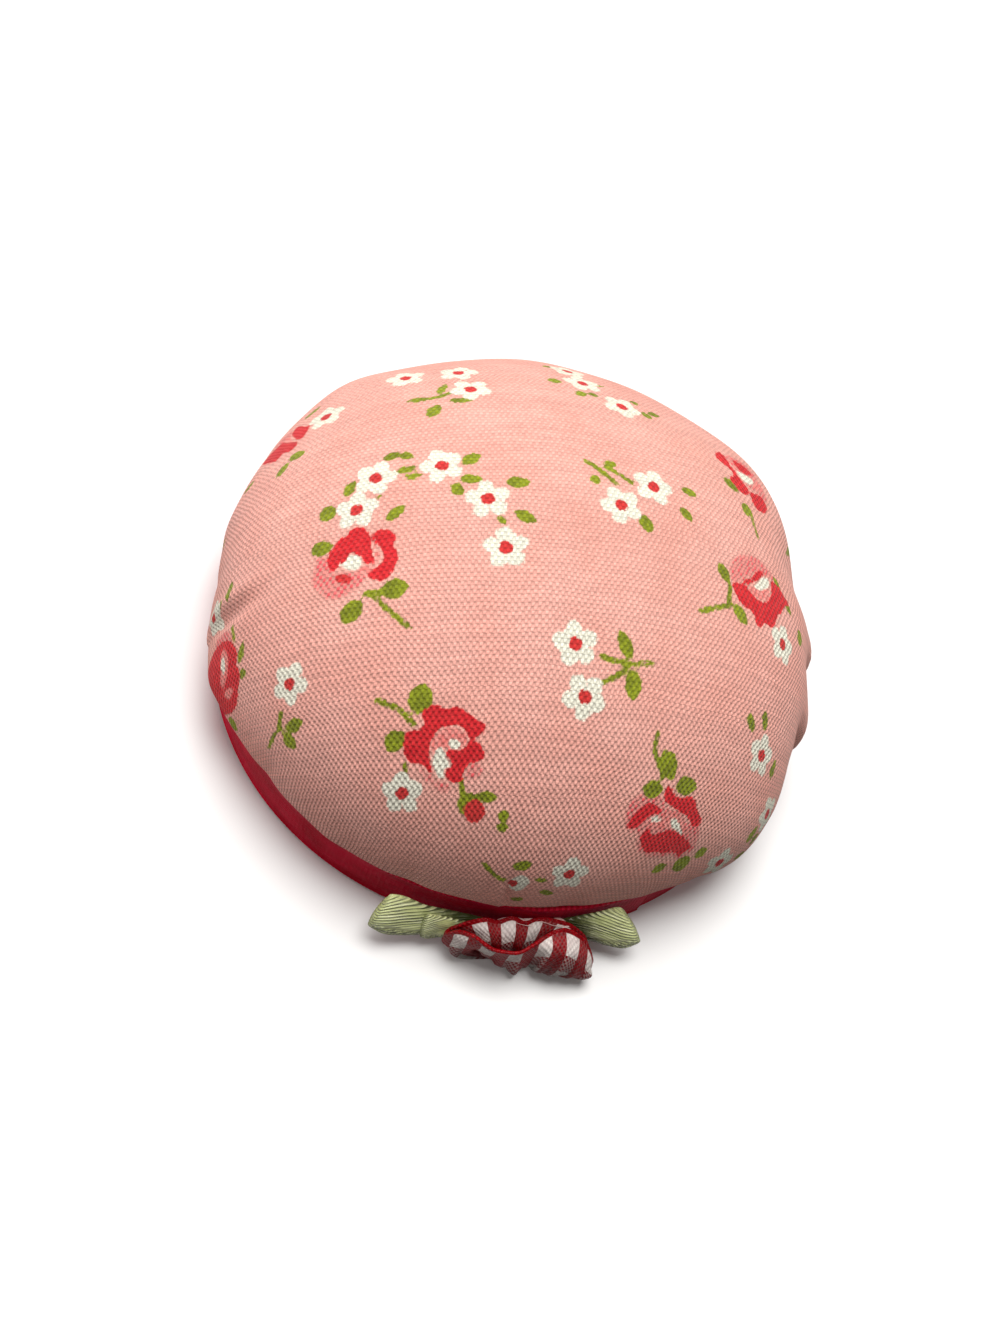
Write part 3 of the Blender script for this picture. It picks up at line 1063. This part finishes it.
def make_leaf(name, satin):
    """A folded leaf of satin ribbon, pleated where it is drawn together at the rosette."""
    upper, lower, swell, node = LEAF_SHAPES[name]
    upper_line, _ = smooth_line(placed(upper), LEAF_ROWS)
    lower_line, _ = smooth_line(placed(lower), LEAF_ROWS)
    share = np.linspace(0, 1, LEAF_COLUMNS)[None, :]
    run = np.linspace(0, 1, LEAF_ROWS)[:, None]
    grid = lower_line[:, None] * (1 - share[..., None]) + upper_line[:, None] * share[..., None]
    length = abs(upper[-1][0] - upper[0][0])
    to_left = upper[-1][0] < 0
    sideways = np.array([-1.0 if to_left else 1.0, 0, 0])
    bow = END_BOW * np.sin(math.pi * share) * smooth_step((run - BOW_START) / (1 - BOW_START))
    arch = np.sin(math.pi * share) ** 0.5
    to_end = np.clip((1 - run) * length / END_FOLD, 0, 1)
    fold = np.sqrt(np.clip(1 - (1 - to_end) ** 2, 0, 1))
    filled = ROOT_FULLNESS + (1 - ROOT_FULLNESS) * smooth_step(run / FILL_OUT)
    fan = share + 0.4 * run + 0.5 * run ** 2
    wander = 0.5 * np.sin(3 * run + 5 * share)
    uneven = 0.6 + 0.4 * np.sin(5 * run + 11 * share + 1)
    fade_from, fade_over = PLEAT_FADE
    fading = 1 - smooth_step((run - fade_from) / fade_over)
    pleat = PLEAT_DEPTH * uneven * fading * smooth_step(run / PLEAT_START) * arch ** 0.5
    ridges = pleat * np.cos(2 * math.pi * LEAF_PLEATS * fan + wander)
    depth, place, half_width = VALLEY
    valley = -depth * swell * np.exp(-((share - place) / half_width) ** 2) * (1 - run ** 3)
    swelling_out = (swell * arch * filled + ridges + valley) * fold
    grid = grid + bow[..., None] * sideways + swelling_out[..., None] * unit(np.array(LEAF_OUTWARDS))
    along = np.broadcast_to(run, grid.shape[:2])
    across = np.broadcast_to(share, grid.shape[:2])
    threads = LEAF_PLEATS * fan + wander / (2 * math.pi)
    if to_left:
        grid, across, threads = grid[:, ::-1], across[:, ::-1], threads[:, ::-1]
    leaf = shell(name, grid, np.full(grid.shape[:2], LEAF_THICKNESS))
    strip = np.stack([along, across, threads], -1).reshape(-1, 3)
    store(leaf, "strip", np.concatenate([strip, strip]))
    leaf.data.materials.append(satin)
    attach(leaf, "root")
    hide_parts(node)


# The rosette is gingham ribbon gathered along its lower edge into a loose cup.
# Each station has the free edge, the shoulder and the belly of the ribbon there.
ROSETTE_FRONT = [
    [(-8.6, 0.7, 4.4), (-8.8, 0.9, 3.6), (-7.4, 1.4, 2.4)],
    [(-9.4, 1.6, 5.2), (-9.5, 1.8, 4.2), (-8.6, 1.9, 2.6)],
    [(-8.2, 1.8, 6.6), (-8.8, 2.2, 5.2), (-7.4, 3.0, 1.3)],
    [(-6.7, 2.5, 7.2), (-7.0, 3.1, 5.6), (-6.7, 3.0, 1.5)],
    [(-5.5, 3.4, 7.0), (-5.6, 3.4, 5.4), (-5.1, 2.4, 1.9)],
    [(-4.2, 4.0, 6.8), (-4.2, 3.9, 5.3), (-3.6, 3.3, 1.6)],
    [(-2.8, 4.3, 6.8), (-2.8, 4.1, 5.3), (-2.2, 4.1, 1.5)],
    [(-1.2, 4.2, 6.9), (-1.1, 4.0, 5.4), (-0.7, 4.8, 1.4)],
    [(0.1, 3.5, 7.1), (0.5, 3.6, 5.7), (0.9, 3.8, 1.5)],
    [(1.9, 2.0, 7.1), (1.9, 3.8, 6.3), (1.8, 4.8, 2.4)],
    [(4.0, 1.3, 7.2), (3.8, 4.1, 6.4), (3.7, 5.2, 2.4)],
    [(6.1, 2.0, 6.7), (5.6, 4.2, 5.6), (5.7, 5.3, 2.2)],
    [(7.1, 2.7, 5.7), (6.9, 4.4, 4.7), (7.0, 5.4, 2.0)],
    [(7.9, 3.7, 4.2), (7.9, 4.6, 3.4), (7.9, 5.0, 1.8)],
    [(8.3, 3.4, 2.8), (8.2, 3.8, 2.2), (7.4, 4.0, 1.2)],
    [(7.6, 2.0, 2.4), (7.2, 2.2, 1.8), (5.6, 2.6, 1.0)],
]
ROSETTE_BACK = [
    [(-8.9, 1.0, 4.8), (-7.8, 1.3, 3.8), (-5.6, 1.8, 2.4)],
    [(-7.4, 0.6, 6.0), (-6.6, 1.4, 5.2), (-4.6, 2.2, 3.0)],
    [(-5.4, 0.2, 6.5), (-4.8, 1.7, 6.0), (-3.6, 2.7, 3.6)],
    [(-3.6, 0.3, 6.3), (-3.2, 2.0, 5.6), (-2.2, 2.9, 3.2)],
    [(-2.0, -0.1, 6.6), (-1.8, 1.8, 6.1), (-1.2, 2.8, 3.6)],
    [(-0.4, 0.3, 6.3), (-0.4, 1.9, 5.4), (0.1, 2.8, 3.0)],
    [(1.0, -0.1, 6.6), (0.9, 1.4, 6.0), (1.0, 2.4, 3.4)],
    [(2.8, 0.0, 6.6), (2.5, 1.2, 6.1), (2.0, 2.3, 3.4)],
    [(5.0, 0.4, 6.3), (4.4, 1.4, 5.6), (3.0, 2.4, 3.0)],
    [(7.0, 1.4, 5.2), (6.0, 1.9, 4.4), (4.2, 2.6, 2.4)],
    [(7.9, 2.6, 3.6), (6.8, 2.7, 2.8), (4.8, 2.8, 1.8)],
]
# Where the checks start along each tier
FRONT_CHECK = -2.4
BACK_CHECK = 0.8
# Middle of the gathers, and their half width and half depth
GATHER = (0.5, 2.5, 0.95)
GATHER_WIDTH = 1.5
GATHER_DEPTH = 0.6
RUFFLE_STEP = 0.16
RUFFLE_COLUMNS = 40
RUFFLE_THICKNESS = 0.2
# Lowest height of the ribbon, and how much thicker its edge grows over the same distance
RUFFLE_FLOOR = 0.35
SELVEDGE_BEAD = 0.2
# Puckers below the free edge: where they start and how far down they grow, then each set's height,
# radians to a millimetre and how many times the phase it starts at
PUCKER_START = 1.2
PUCKER_GROWTH = 5.0
PUCKERS = [(0.14, 3.1, 1), (0.05, 7.3, 2)]
FLUTTER = 0.04


def make_ruffle(name, stations, phase, check_start, gingham, node):
    """A strip of gingham ribbon, free along its top edge and gathered tight along its lower one."""
    side, out, up = GATHER
    edges = [placed([station[level] for station in stations]) for level in range(3)]
    _, length = smooth_line(edges[0], 50)
    rows = int(length / RUFFLE_STEP)
    turn = np.linspace(0, math.pi, rows)
    forwards = 1 if phase == 0 else -1
    gathered = placed(np.stack([side - GATHER_WIDTH * np.cos(turn),
                                out + forwards * GATHER_DEPTH * np.sin(turn), np.full(rows, up)], 1))
    lines = [smooth_line(edge, rows)[0] for edge in edges] + [gathered]
    grid = np.stack([smooth_line([line[row] for line in lines], RUFFLE_COLUMNS)[0] for row in range(rows)])
    down = np.concatenate([np.zeros((rows, 1)),
                           np.cumsum(np.linalg.norm(np.diff(grid, axis=1), axis=2), axis=1)], 1)
    along = np.linspace(0, length, rows)[:, None]
    depth = smooth_step((down - PUCKER_START) / PUCKER_GROWTH)
    puckers = sum(height * depth * np.sin(along * rate + share * phase) for height, rate, share in PUCKERS)
    flutter = FLUTTER * np.sin(along * 2.2 + 0.6 * down + phase)
    grid = grid + grid_normals(grid) * (puckers + flutter)[..., None]
    grid[..., 2] = np.maximum(grid[..., 2], RUFFLE_FLOOR)
    bead = smooth_step((SELVEDGE - down) / SELVEDGE_BEAD)
    ruffle = shell(name, grid, RUFFLE_THICKNESS + SELVEDGE_BEAD * bead)
    along = np.broadcast_to(along - check_start, down.shape)
    strip = np.stack([along, down, np.zeros_like(down)], -1).reshape(-1, 3)
    store(ruffle, "strip", np.concatenate([strip, strip]))
    ruffle.data.materials.append(gingham)
    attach(ruffle, "root")
    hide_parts(node)


# A direction that no tube here runs along
TUBE_SIDE = (0.31, 0.17, 0.94)


def tube(line, radius, sides=10):
    """Points and faces of a round tube along a line, closed and pointed at both ends."""
    line = np.asarray(line, float)
    ahead = unit(np.gradient(line, axis=0))
    side = unit(np.cross(ahead, TUBE_SIDE))
    other = np.cross(ahead, side)
    turn = np.linspace(0, 2 * math.pi, sides, endpoint=False)[None, :, None]
    ring = np.cos(turn) * side[:, None] + np.sin(turn) * other[:, None]
    radius = np.broadcast_to(radius, len(line))
    points = line[:, None] + ring * radius[:, None, None]
    faces = turned_over(grid_faces(len(line), sides, closed_columns=True))
    return points.reshape(-1, 3), faces + end_faces(len(line), sides)


def joined(parts):
    """Several (points, faces) pairs as one."""
    points, faces, start = [], [], 0
    for part_points, part_faces in parts:
        points.append(part_points)
        faces += [tuple(start + corner for corner in face) for face in part_faces]
        start += len(part_points)
    return np.concatenate(points), faces


BINDING_TURNS = 4
BINDING_STEPS = 40
BINDING_THREAD = 0.14
# How far the thread is outside the gathers, sideways and outwards, and its heights from theirs
BINDING_GAP = (0.25, 0.3)
BINDING_CLIMB = (-0.35, 0.25)


def make_binding(cotton):
    """Thread wound round the gathers under the rosette."""
    side, out, up = GATHER
    turn = np.linspace(0, BINDING_TURNS * 2 * math.pi, BINDING_TURNS * BINDING_STEPS)
    climb = np.linspace(*BINDING_CLIMB, len(turn))
    line = placed(np.stack([side + (GATHER_WIDTH + BINDING_GAP[0]) * np.cos(turn),
                            out + (GATHER_DEPTH + BINDING_GAP[1]) * np.sin(turn), up + climb], 1))
    points, faces = tube(line, BINDING_THREAD)
    binding = mesh("rosette_binding", points, faces)
    binding.data.materials.append(cotton)
    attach(binding, "root")
    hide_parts("rosette_thread")


# Set glue: middle and half sizes of each blob, and the fine wisps pulled from it
GLUE_BLOBS = [((-1.6, 0.2, 5.2), (2.2, 0.6, 1.0)), ((1.2, 0.1, 5.0), (2.4, 0.6, 1.1)),
              ((3.6, 0.0, 5.4), (1.2, 0.5, 0.7)), ((-0.2, 0.35, 4.0), (2.6, 0.7, 1.2))]
GLUE_WISPS = [
    [(-3.0, 0.2, 6.0), (-1.8, 0.6, 6.5), (-0.2, 0.9, 6.4), (1.2, 0.7, 6.2)],
    [(0.6, 0.2, 6.2), (1.8, 0.6, 6.8), (3.0, 0.9, 6.7), (4.6, 1.0, 6.9)],
]
BLOB_STEPS = 24
BLOB_LUMPS = 0.08
BLOB_POLE = 0.02
WISP_STEPS = 24
# Radius of a wisp at its middle, and how much it grows towards its ends
WISP_RADIUS = 0.03
WISP_GROWTH = 0.05


def make_glue(glue):
    """Clear glue between the ribbon and the rosette, with wisps drawn out of it."""
    parts = []
    tilt = np.linspace(BLOB_POLE, math.pi - BLOB_POLE, BLOB_STEPS)[:, None]
    turn = np.linspace(0, 2 * math.pi, BLOB_STEPS, endpoint=False)[None]
    faces = grid_faces(BLOB_STEPS, BLOB_STEPS, closed_columns=True)
    faces += turned_over(end_faces(BLOB_STEPS, BLOB_STEPS))
    for middle, size in GLUE_BLOBS:
        lumps = 1 + BLOB_LUMPS * np.sin(3 * turn + 2 * tilt + middle[0]) * np.sin(tilt)
        blob = np.stack([middle[0] + size[0] * lumps * np.sin(tilt) * np.cos(turn),
                         middle[1] + size[1] * lumps * np.sin(tilt) * np.sin(turn),
                         middle[2] + size[2] * np.cos(tilt) * np.ones_like(turn)], -1)
        parts.append((placed(blob.reshape(-1, 3)), faces))
    radius = WISP_RADIUS + WISP_GROWTH * np.linspace(-1, 1, WISP_STEPS) ** 2
    for wisp in GLUE_WISPS:
        line, _ = smooth_line(placed(wisp), WISP_STEPS)
        parts.append(tube(line, radius, sides=8))
    points, faces = joined(parts)
    dab = mesh("glue_dab", points, faces)
    dab.data.materials.append(glue)
    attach(dab, "root")
    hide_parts("rosette_glue")


# ---------------------------------------------------------------- other materials

# Red satin: its bright and deep tones, its edge's dark and bright loops and its sheen
SATIN_BRIGHT = linear(214, 16, 52)
SATIN_DEEP = linear(172, 6, 30)
LOOP_DARK = linear(200, 18, 44)
LOOP_BRIGHT = linear(228, 38, 68)
SATIN_SHEEN = linear(255, 60, 110)
# Width of the ribbon's woven edge, and how far it blends in
RIBBON_EDGE = 0.5
EDGE_BLEND = 0.1


def red_satin(width):
    """Ribbon satin of a width in mm: fine threads along it, a faint rib across it and a looped edge."""
    shader = Shader("ribbon_red")
    along, across, _ = shader.split(shader.attribute("strip", "Vector"))
    threads = shader.noise(shader.join(shader.times(along, 0.5), shader.times(across, 7.0)), 1.0, 2.0, 0.6)
    soft = shader.noise(shader.join(shader.times(along, 0.12), shader.times(across, 0.3)), 1.0, 2.0)
    tone = shader.mix(shader.ramp(soft, 0.3, 0.7), SATIN_BRIGHT, SATIN_DEEP)
    tone = shader.shaded(tone, shader.ramp(threads, 0.25, 0.75, 0.82, 1.06))
    edge = shader.ramp(across, width - RIBBON_EDGE, width - RIBBON_EDGE + EDGE_BLEND)
    twist = shader.maths("SINE", shader.times(along, 9.0))
    tone = shader.mix(edge, tone, shader.mix(shader.ramp(twist, -0.5, 0.5), LOOP_DARK, LOOP_BRIGHT))
    ribs = shader.maths("ABSOLUTE", shader.maths("SINE", shader.times(along, 5.5)))
    normal = shader.bump(threads, 0.05)
    normal = shader.bump(ribs, 0.012, normal)
    normal = shader.bump(shader.times(twist, edge), 0.06, normal)
    gloss = shader.ramp(edge, 0.0, 1.0, 0.35, 0.2)
    return shader.finish(Base_Color=tone, Roughness=gloss, Sheen_Weight=0.8, Sheen_Roughness=0.2,
                         Sheen_Tint=SATIN_SHEEN, Specular_IOR_Level=0.02, Normal=normal)


def leaf_satin():
    """Sage satin, smooth and bright towards its folded end and darker along its pleats."""
    shader = Shader("ribbon_green")
    run, share, threads = shader.split(shader.attribute("strip", "Vector"))

    def noise(along, across):
        place = shader.join(shader.times(run, along), shader.times(threads, across))
        return shader.noise(place, 1.0, 2.0, 0.6)

    tone = shader.mix(shader.ramp(run, 0.35, 0.8), LEAF_SHADE, LEAF_SAGE)
    tone = shader.mix(shader.ramp(noise(4.0, 1.1), 0.4, 0.75), tone, LEAF_LIGHT)
    dip = shader.maths("COSINE", shader.times(threads, 2 * math.pi))
    dip = shader.plus(dip, shader.times(noise(5.0, 0.6), 2.4))
    line = shader.times(shader.ramp(dip, 1.75, 0.8), shader.ramp(run, 0.98, 0.68))
    tone = shader.mix(shader.times(line, 0.95), tone, LEAF_DARK)
    rough_part = shader.maths("MAXIMUM", shader.ramp(share, 0.3, 0.12), shader.ramp(run, 0.65, 0.35))
    spot = shader.times(shader.ramp(noise(34.0, 1.7), 0.56, 0.46), rough_part)
    tone = shader.mix(shader.times(spot, 0.75), tone, LEAF_DARK)
    tone = shader.mix(shader.ramp(run, 0.75, 0.3, 0.0, 1.0), tone, LEAF_DARK)
    tone = shader.mix(shader.ramp(run, 0.95, 1.0, 0.0, 0.7), tone, LEAF_SHADE)
    normal = shader.bump(dip, 0.1)
    normal = shader.bump(noise(40.0, 2.5), 0.07, normal)
    return shader.finish(Base_Color=tone, Roughness=0.32, Sheen_Weight=0.12, Sheen_Roughness=0.35,
                         Sheen_Tint=LEAF_LIGHT, Specular_IOR_Level=0.5, Normal=normal)


# Gingham: size of a check along and across the ribbon, width of the plain edge, thread spacing,
# and how red the bands that run across the ribbon and along it are at least
CHECK_ALONG = 1.8
CHECK_ACROSS = 2.5
SELVEDGE = 0.55
GINGHAM_COLUMN = 0.27
GINGHAM_ROW = 0.36
LEAST_CROSS_RED = 0.93
LEAST_LONG_RED = 0.6
YARN_REDS = (linear(150, 7, 18), linear(116, 4, 11))
YARN_WHITES = (linear(236, 226, 220), linear(216, 200, 196))


def gingham_ribbon():
    """Narrow gingham: red and white bands both ways, with a plain red edge."""
    shader = Shader("gingham_ribbon")
    along, across, _ = shader.split(shader.attribute("strip", "Vector"))

    def banded(distance, width):
        """1 in a red band, 0 in a white one."""
        wave = shader.maths("SINE", shader.times(distance, math.pi / width))
        return shader.ramp(wave, -0.06, 0.06)

    edge = shader.ramp(across, SELVEDGE - 0.05, SELVEDGE + 0.05, 1.0, 0.0)
    long_band = banded(shader.minus(across, SELVEDGE + CHECK_ACROSS), CHECK_ACROSS)
    long_band = shader.maths("MAXIMUM", long_band, edge)
    cross_band = shader.maths("MAXIMUM", banded(along, CHECK_ALONG), edge)
    floats, _, cell = weave(shader, shader.maths("DIVIDE", along, GINGHAM_COLUMN),
                              shader.maths("DIVIDE", across, GINGHAM_ROW))
    weft_on_top = shader.ramp(floats, -0.25, 0.25)
    red = shader.plus(shader.times(weft_on_top, cross_band),
                      shader.times(shader.minus(1.0, weft_on_top), long_band))
    least = shader.maths("MAXIMUM", shader.times(cross_band, LEAST_CROSS_RED),
                         shader.times(long_band, LEAST_LONG_RED))
    chance = shader.dice(cell)
    colour = shader.mix(shader.maths("MAXIMUM", red, least), shader.mix(chance, *YARN_WHITES),
                        shader.mix(chance, *YARN_REDS))
    rib = shader.times(shader.ramp(floats, -0.8, 0.8, 0.86, 1.04), shader.ramp(across, 2.0, 7.0, 0.95, 0.4))
    gloss = shader.ramp(edge, 0.0, 1.0, 0.45, 0.22)
    return shader.finish(Base_Color=shader.shaded(colour, rib), Roughness=gloss, Sheen_Weight=0.01,
                         Sheen_Roughness=0.4, Specular_IOR_Level=0.12,
                         Normal=shader.bump(shader.ramp(floats, -1.0, 1.0), 0.07))


def fibrous(name, colour, shade, scale, depth, roughness=0.95):
    """A matt fibrous material, such as felt, card, filling or thread."""
    shader = Shader(name)
    place = shader.node("ShaderNodeNewGeometry", "Position")
    tangle = shader.noise(place, scale, 5.0, 0.7)
    cloud = shader.noise(place, scale / 8, 2.0)
    tone = shader.mix(shader.ramp(cloud, 0.3, 0.7), colour, shade)
    tone = shader.shaded(tone, shader.ramp(tangle, 0.2, 0.8, 0.8, 1.08))
    return shader.finish(Base_Color=tone, Roughness=roughness, Sheen_Weight=0.3,
                         Specular_IOR_Level=0.2, Normal=shader.bump(tangle, depth))


def hot_glue():
    """Cloudy set hot glue."""
    shader = Shader("hot_glue")
    place = shader.node("ShaderNodeNewGeometry", "Position")
    wisp = shader.noise(place, 900.0, 3.0)
    colour = shader.mix(shader.ramp(wisp, 0.4, 0.8), linear(236, 196, 190), linear(250, 236, 230))
    return shader.finish(Base_Color=colour, Roughness=0.18, IOR=1.4, Transmission_Weight=0.2,
                         Normal=shader.bump(wisp, 0.05))


def finish_frame_nodes(thread, glue):
    """Better materials on the CAD nodes that stay."""
    finishes = {
        "base_felt": fibrous("felt_red", linear(158, 22, 30), linear(138, 16, 24), 1800, 0.25),
        "base_board": fibrous("board_brown", linear(184, 146, 104), linear(166, 128, 90), 900, 0.05),
        "cushion_glue": glue,
        "cushion_card": fibrous("card_grey", linear(170, 142, 108), linear(156, 130, 98), 900, 0.05),
        "gathering_thread": thread,
    }
    for node, material in finishes.items():
        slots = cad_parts[node].data.materials
        slots.clear()
        slots.append(material)


# ---------------------------------------------------------------- stage, light and camera

FLOOR_REACH = 1500
FLOOR_HEIGHT = -0.02


def make_stage():
    """A plain pale floor."""
    corners = [(-1, -1), (1, -1), (1, 1), (-1, 1)]
    points = [(x * FLOOR_REACH, y * FLOOR_REACH, FLOOR_HEIGHT) for x, y in corners]
    floor = mesh("floor", points, [(0, 1, 2, 3)], smooth=False)
    shader = Shader("floor_white")
    floor.data.materials.append(shader.finish(Base_Color=(0.86, 0.86, 0.86, 1), Roughness=0.9))
    floor.visible_diffuse = False


# Each light's place and target in metres, size in metres, power in watts and colour
LIGHTS = {
    "key": ((0.06, 0.27, 1.15), (0, 0, 0.02), 0.9, 18.0, (1.0, 0.99, 0.97)),
    "side": ((-0.46, 0.18, 0.06), (0, 0, 0.01), 0.3, 1.1, (1.0, 0.93, 0.95)),
}


def area_light(name, place, target, size, power, colour):
    """A round soft light at a place, aimed at a target."""
    data = bpy.data.lights.new(name, "AREA")
    data.shape = "DISK"
    data.size = size
    data.energy = power
    data.color = colour
    light = bpy.data.objects.new(name, data)
    light.location = place
    light.rotation_mode = "QUATERNION"
    light.rotation_quaternion = (Vector(target) - Vector(place)).to_track_quat("-Z", "Y")
    bpy.context.scene.collection.objects.link(light)


# The surround grows brighter towards one side: from and to values of the direction's share,
# then the strengths there
SURROUND_DIRECTION = (-0.5, 0.6, 0.62)
SURROUND_RANGE = (-1.0, 1.0, 0.1, 0.4)
SURROUND_COLOUR = (1.0, 0.95, 0.92, 1.0)


def make_light():
    """One large soft light overhead, a weak one low at the left and a dim surround."""
    for name, settings in LIGHTS.items():
        area_light(name, *settings)
    world = bpy.data.worlds.new("surround")
    world.use_nodes = True
    tree = world.node_tree
    background = tree.nodes["Background"]
    background.inputs["Color"].default_value = SURROUND_COLOUR
    place = tree.nodes.new("ShaderNodeTexCoord")
    towards = tree.nodes.new("ShaderNodeVectorMath")
    towards.operation = "DOT_PRODUCT"
    towards.inputs[1].default_value = SURROUND_DIRECTION
    strength = tree.nodes.new("ShaderNodeMapRange")
    for socket, number in zip(list(strength.inputs)[1:5], SURROUND_RANGE):
        socket.default_value = number
    tree.links.new(place.outputs["Generated"], towards.inputs[0])
    tree.links.new(towards.outputs["Value"], strength.inputs["Value"])
    tree.links.new(strength.outputs[0], background.inputs["Strength"])
    bpy.context.scene.world = world
    bpy.context.scene.view_settings.view_transform = "Standard"


CAMERA_AZIMUTH = -23.0
CAMERA_ELEVATION = 55.2
CAMERA_ROLL = -24.2
CAMERA_DISTANCE = 0.1802
CAMERA_LENS = 38.0
CAMERA_SENSOR = 36.0
CAMERA_SHIFT = (-0.011, -0.0237)
CAMERA_NEAR = 0.005


def make_camera():
    """A camera in front of the cushion, looking down at it, held at a tilt."""
    azimuth, elevation, roll = map(math.radians, (CAMERA_AZIMUTH, CAMERA_ELEVATION, CAMERA_ROLL))
    back = Vector((math.sin(azimuth) * math.cos(elevation),
                   -math.cos(azimuth) * math.cos(elevation), math.sin(elevation)))
    right = (-back).cross(Vector((0, 0, 1))).normalized()
    down = (-back).cross(right)
    image_right = math.cos(roll) * right + math.sin(roll) * down
    image_up = math.sin(roll) * right - math.cos(roll) * down
    data = bpy.data.cameras.new("camera")
    data.lens = CAMERA_LENS
    data.sensor_width = CAMERA_SENSOR
    data.shift_x, data.shift_y = CAMERA_SHIFT
    data.clip_start = CAMERA_NEAR
    camera = bpy.data.objects.new("camera", data)
    bpy.context.scene.collection.objects.link(camera)
    target = Vector((0, 0, RIBBON_HIGH[2] * MM))
    turned = Matrix((image_right, image_up, back)).transposed()
    camera.matrix_world = Matrix.Translation(target + back * CAMERA_DISTANCE) @ turned.to_4x4()
    bpy.context.scene.camera = camera


make_camera()
make_stage()
make_light()
make_cover()
make_filling(fibrous("filling_white", linear(244, 243, 240), linear(232, 230, 226), 1200, 0.3))
make_ribbon(red_satin(RIBBON_HIGH[2] - RIBBON_LOW[2]))
sage_satin = leaf_satin()
for leaf_name in LEAF_SHAPES:
    make_leaf(leaf_name, sage_satin)
checks = gingham_ribbon()
make_ruffle("rosette_front", ROSETTE_FRONT, 0.0, FRONT_CHECK, checks, "rosette_front_ruffle")
make_ruffle("rosette_back", ROSETTE_BACK, 1.3, BACK_CHECK, checks, "rosette_back_ruffle")
white_thread = fibrous("thread_white", linear(240, 236, 228), linear(226, 220, 210), 6000, 0.05)
clear_glue = hot_glue()
make_binding(white_thread)
make_glue(clear_glue)
finish_frame_nodes(white_thread, clear_glue)
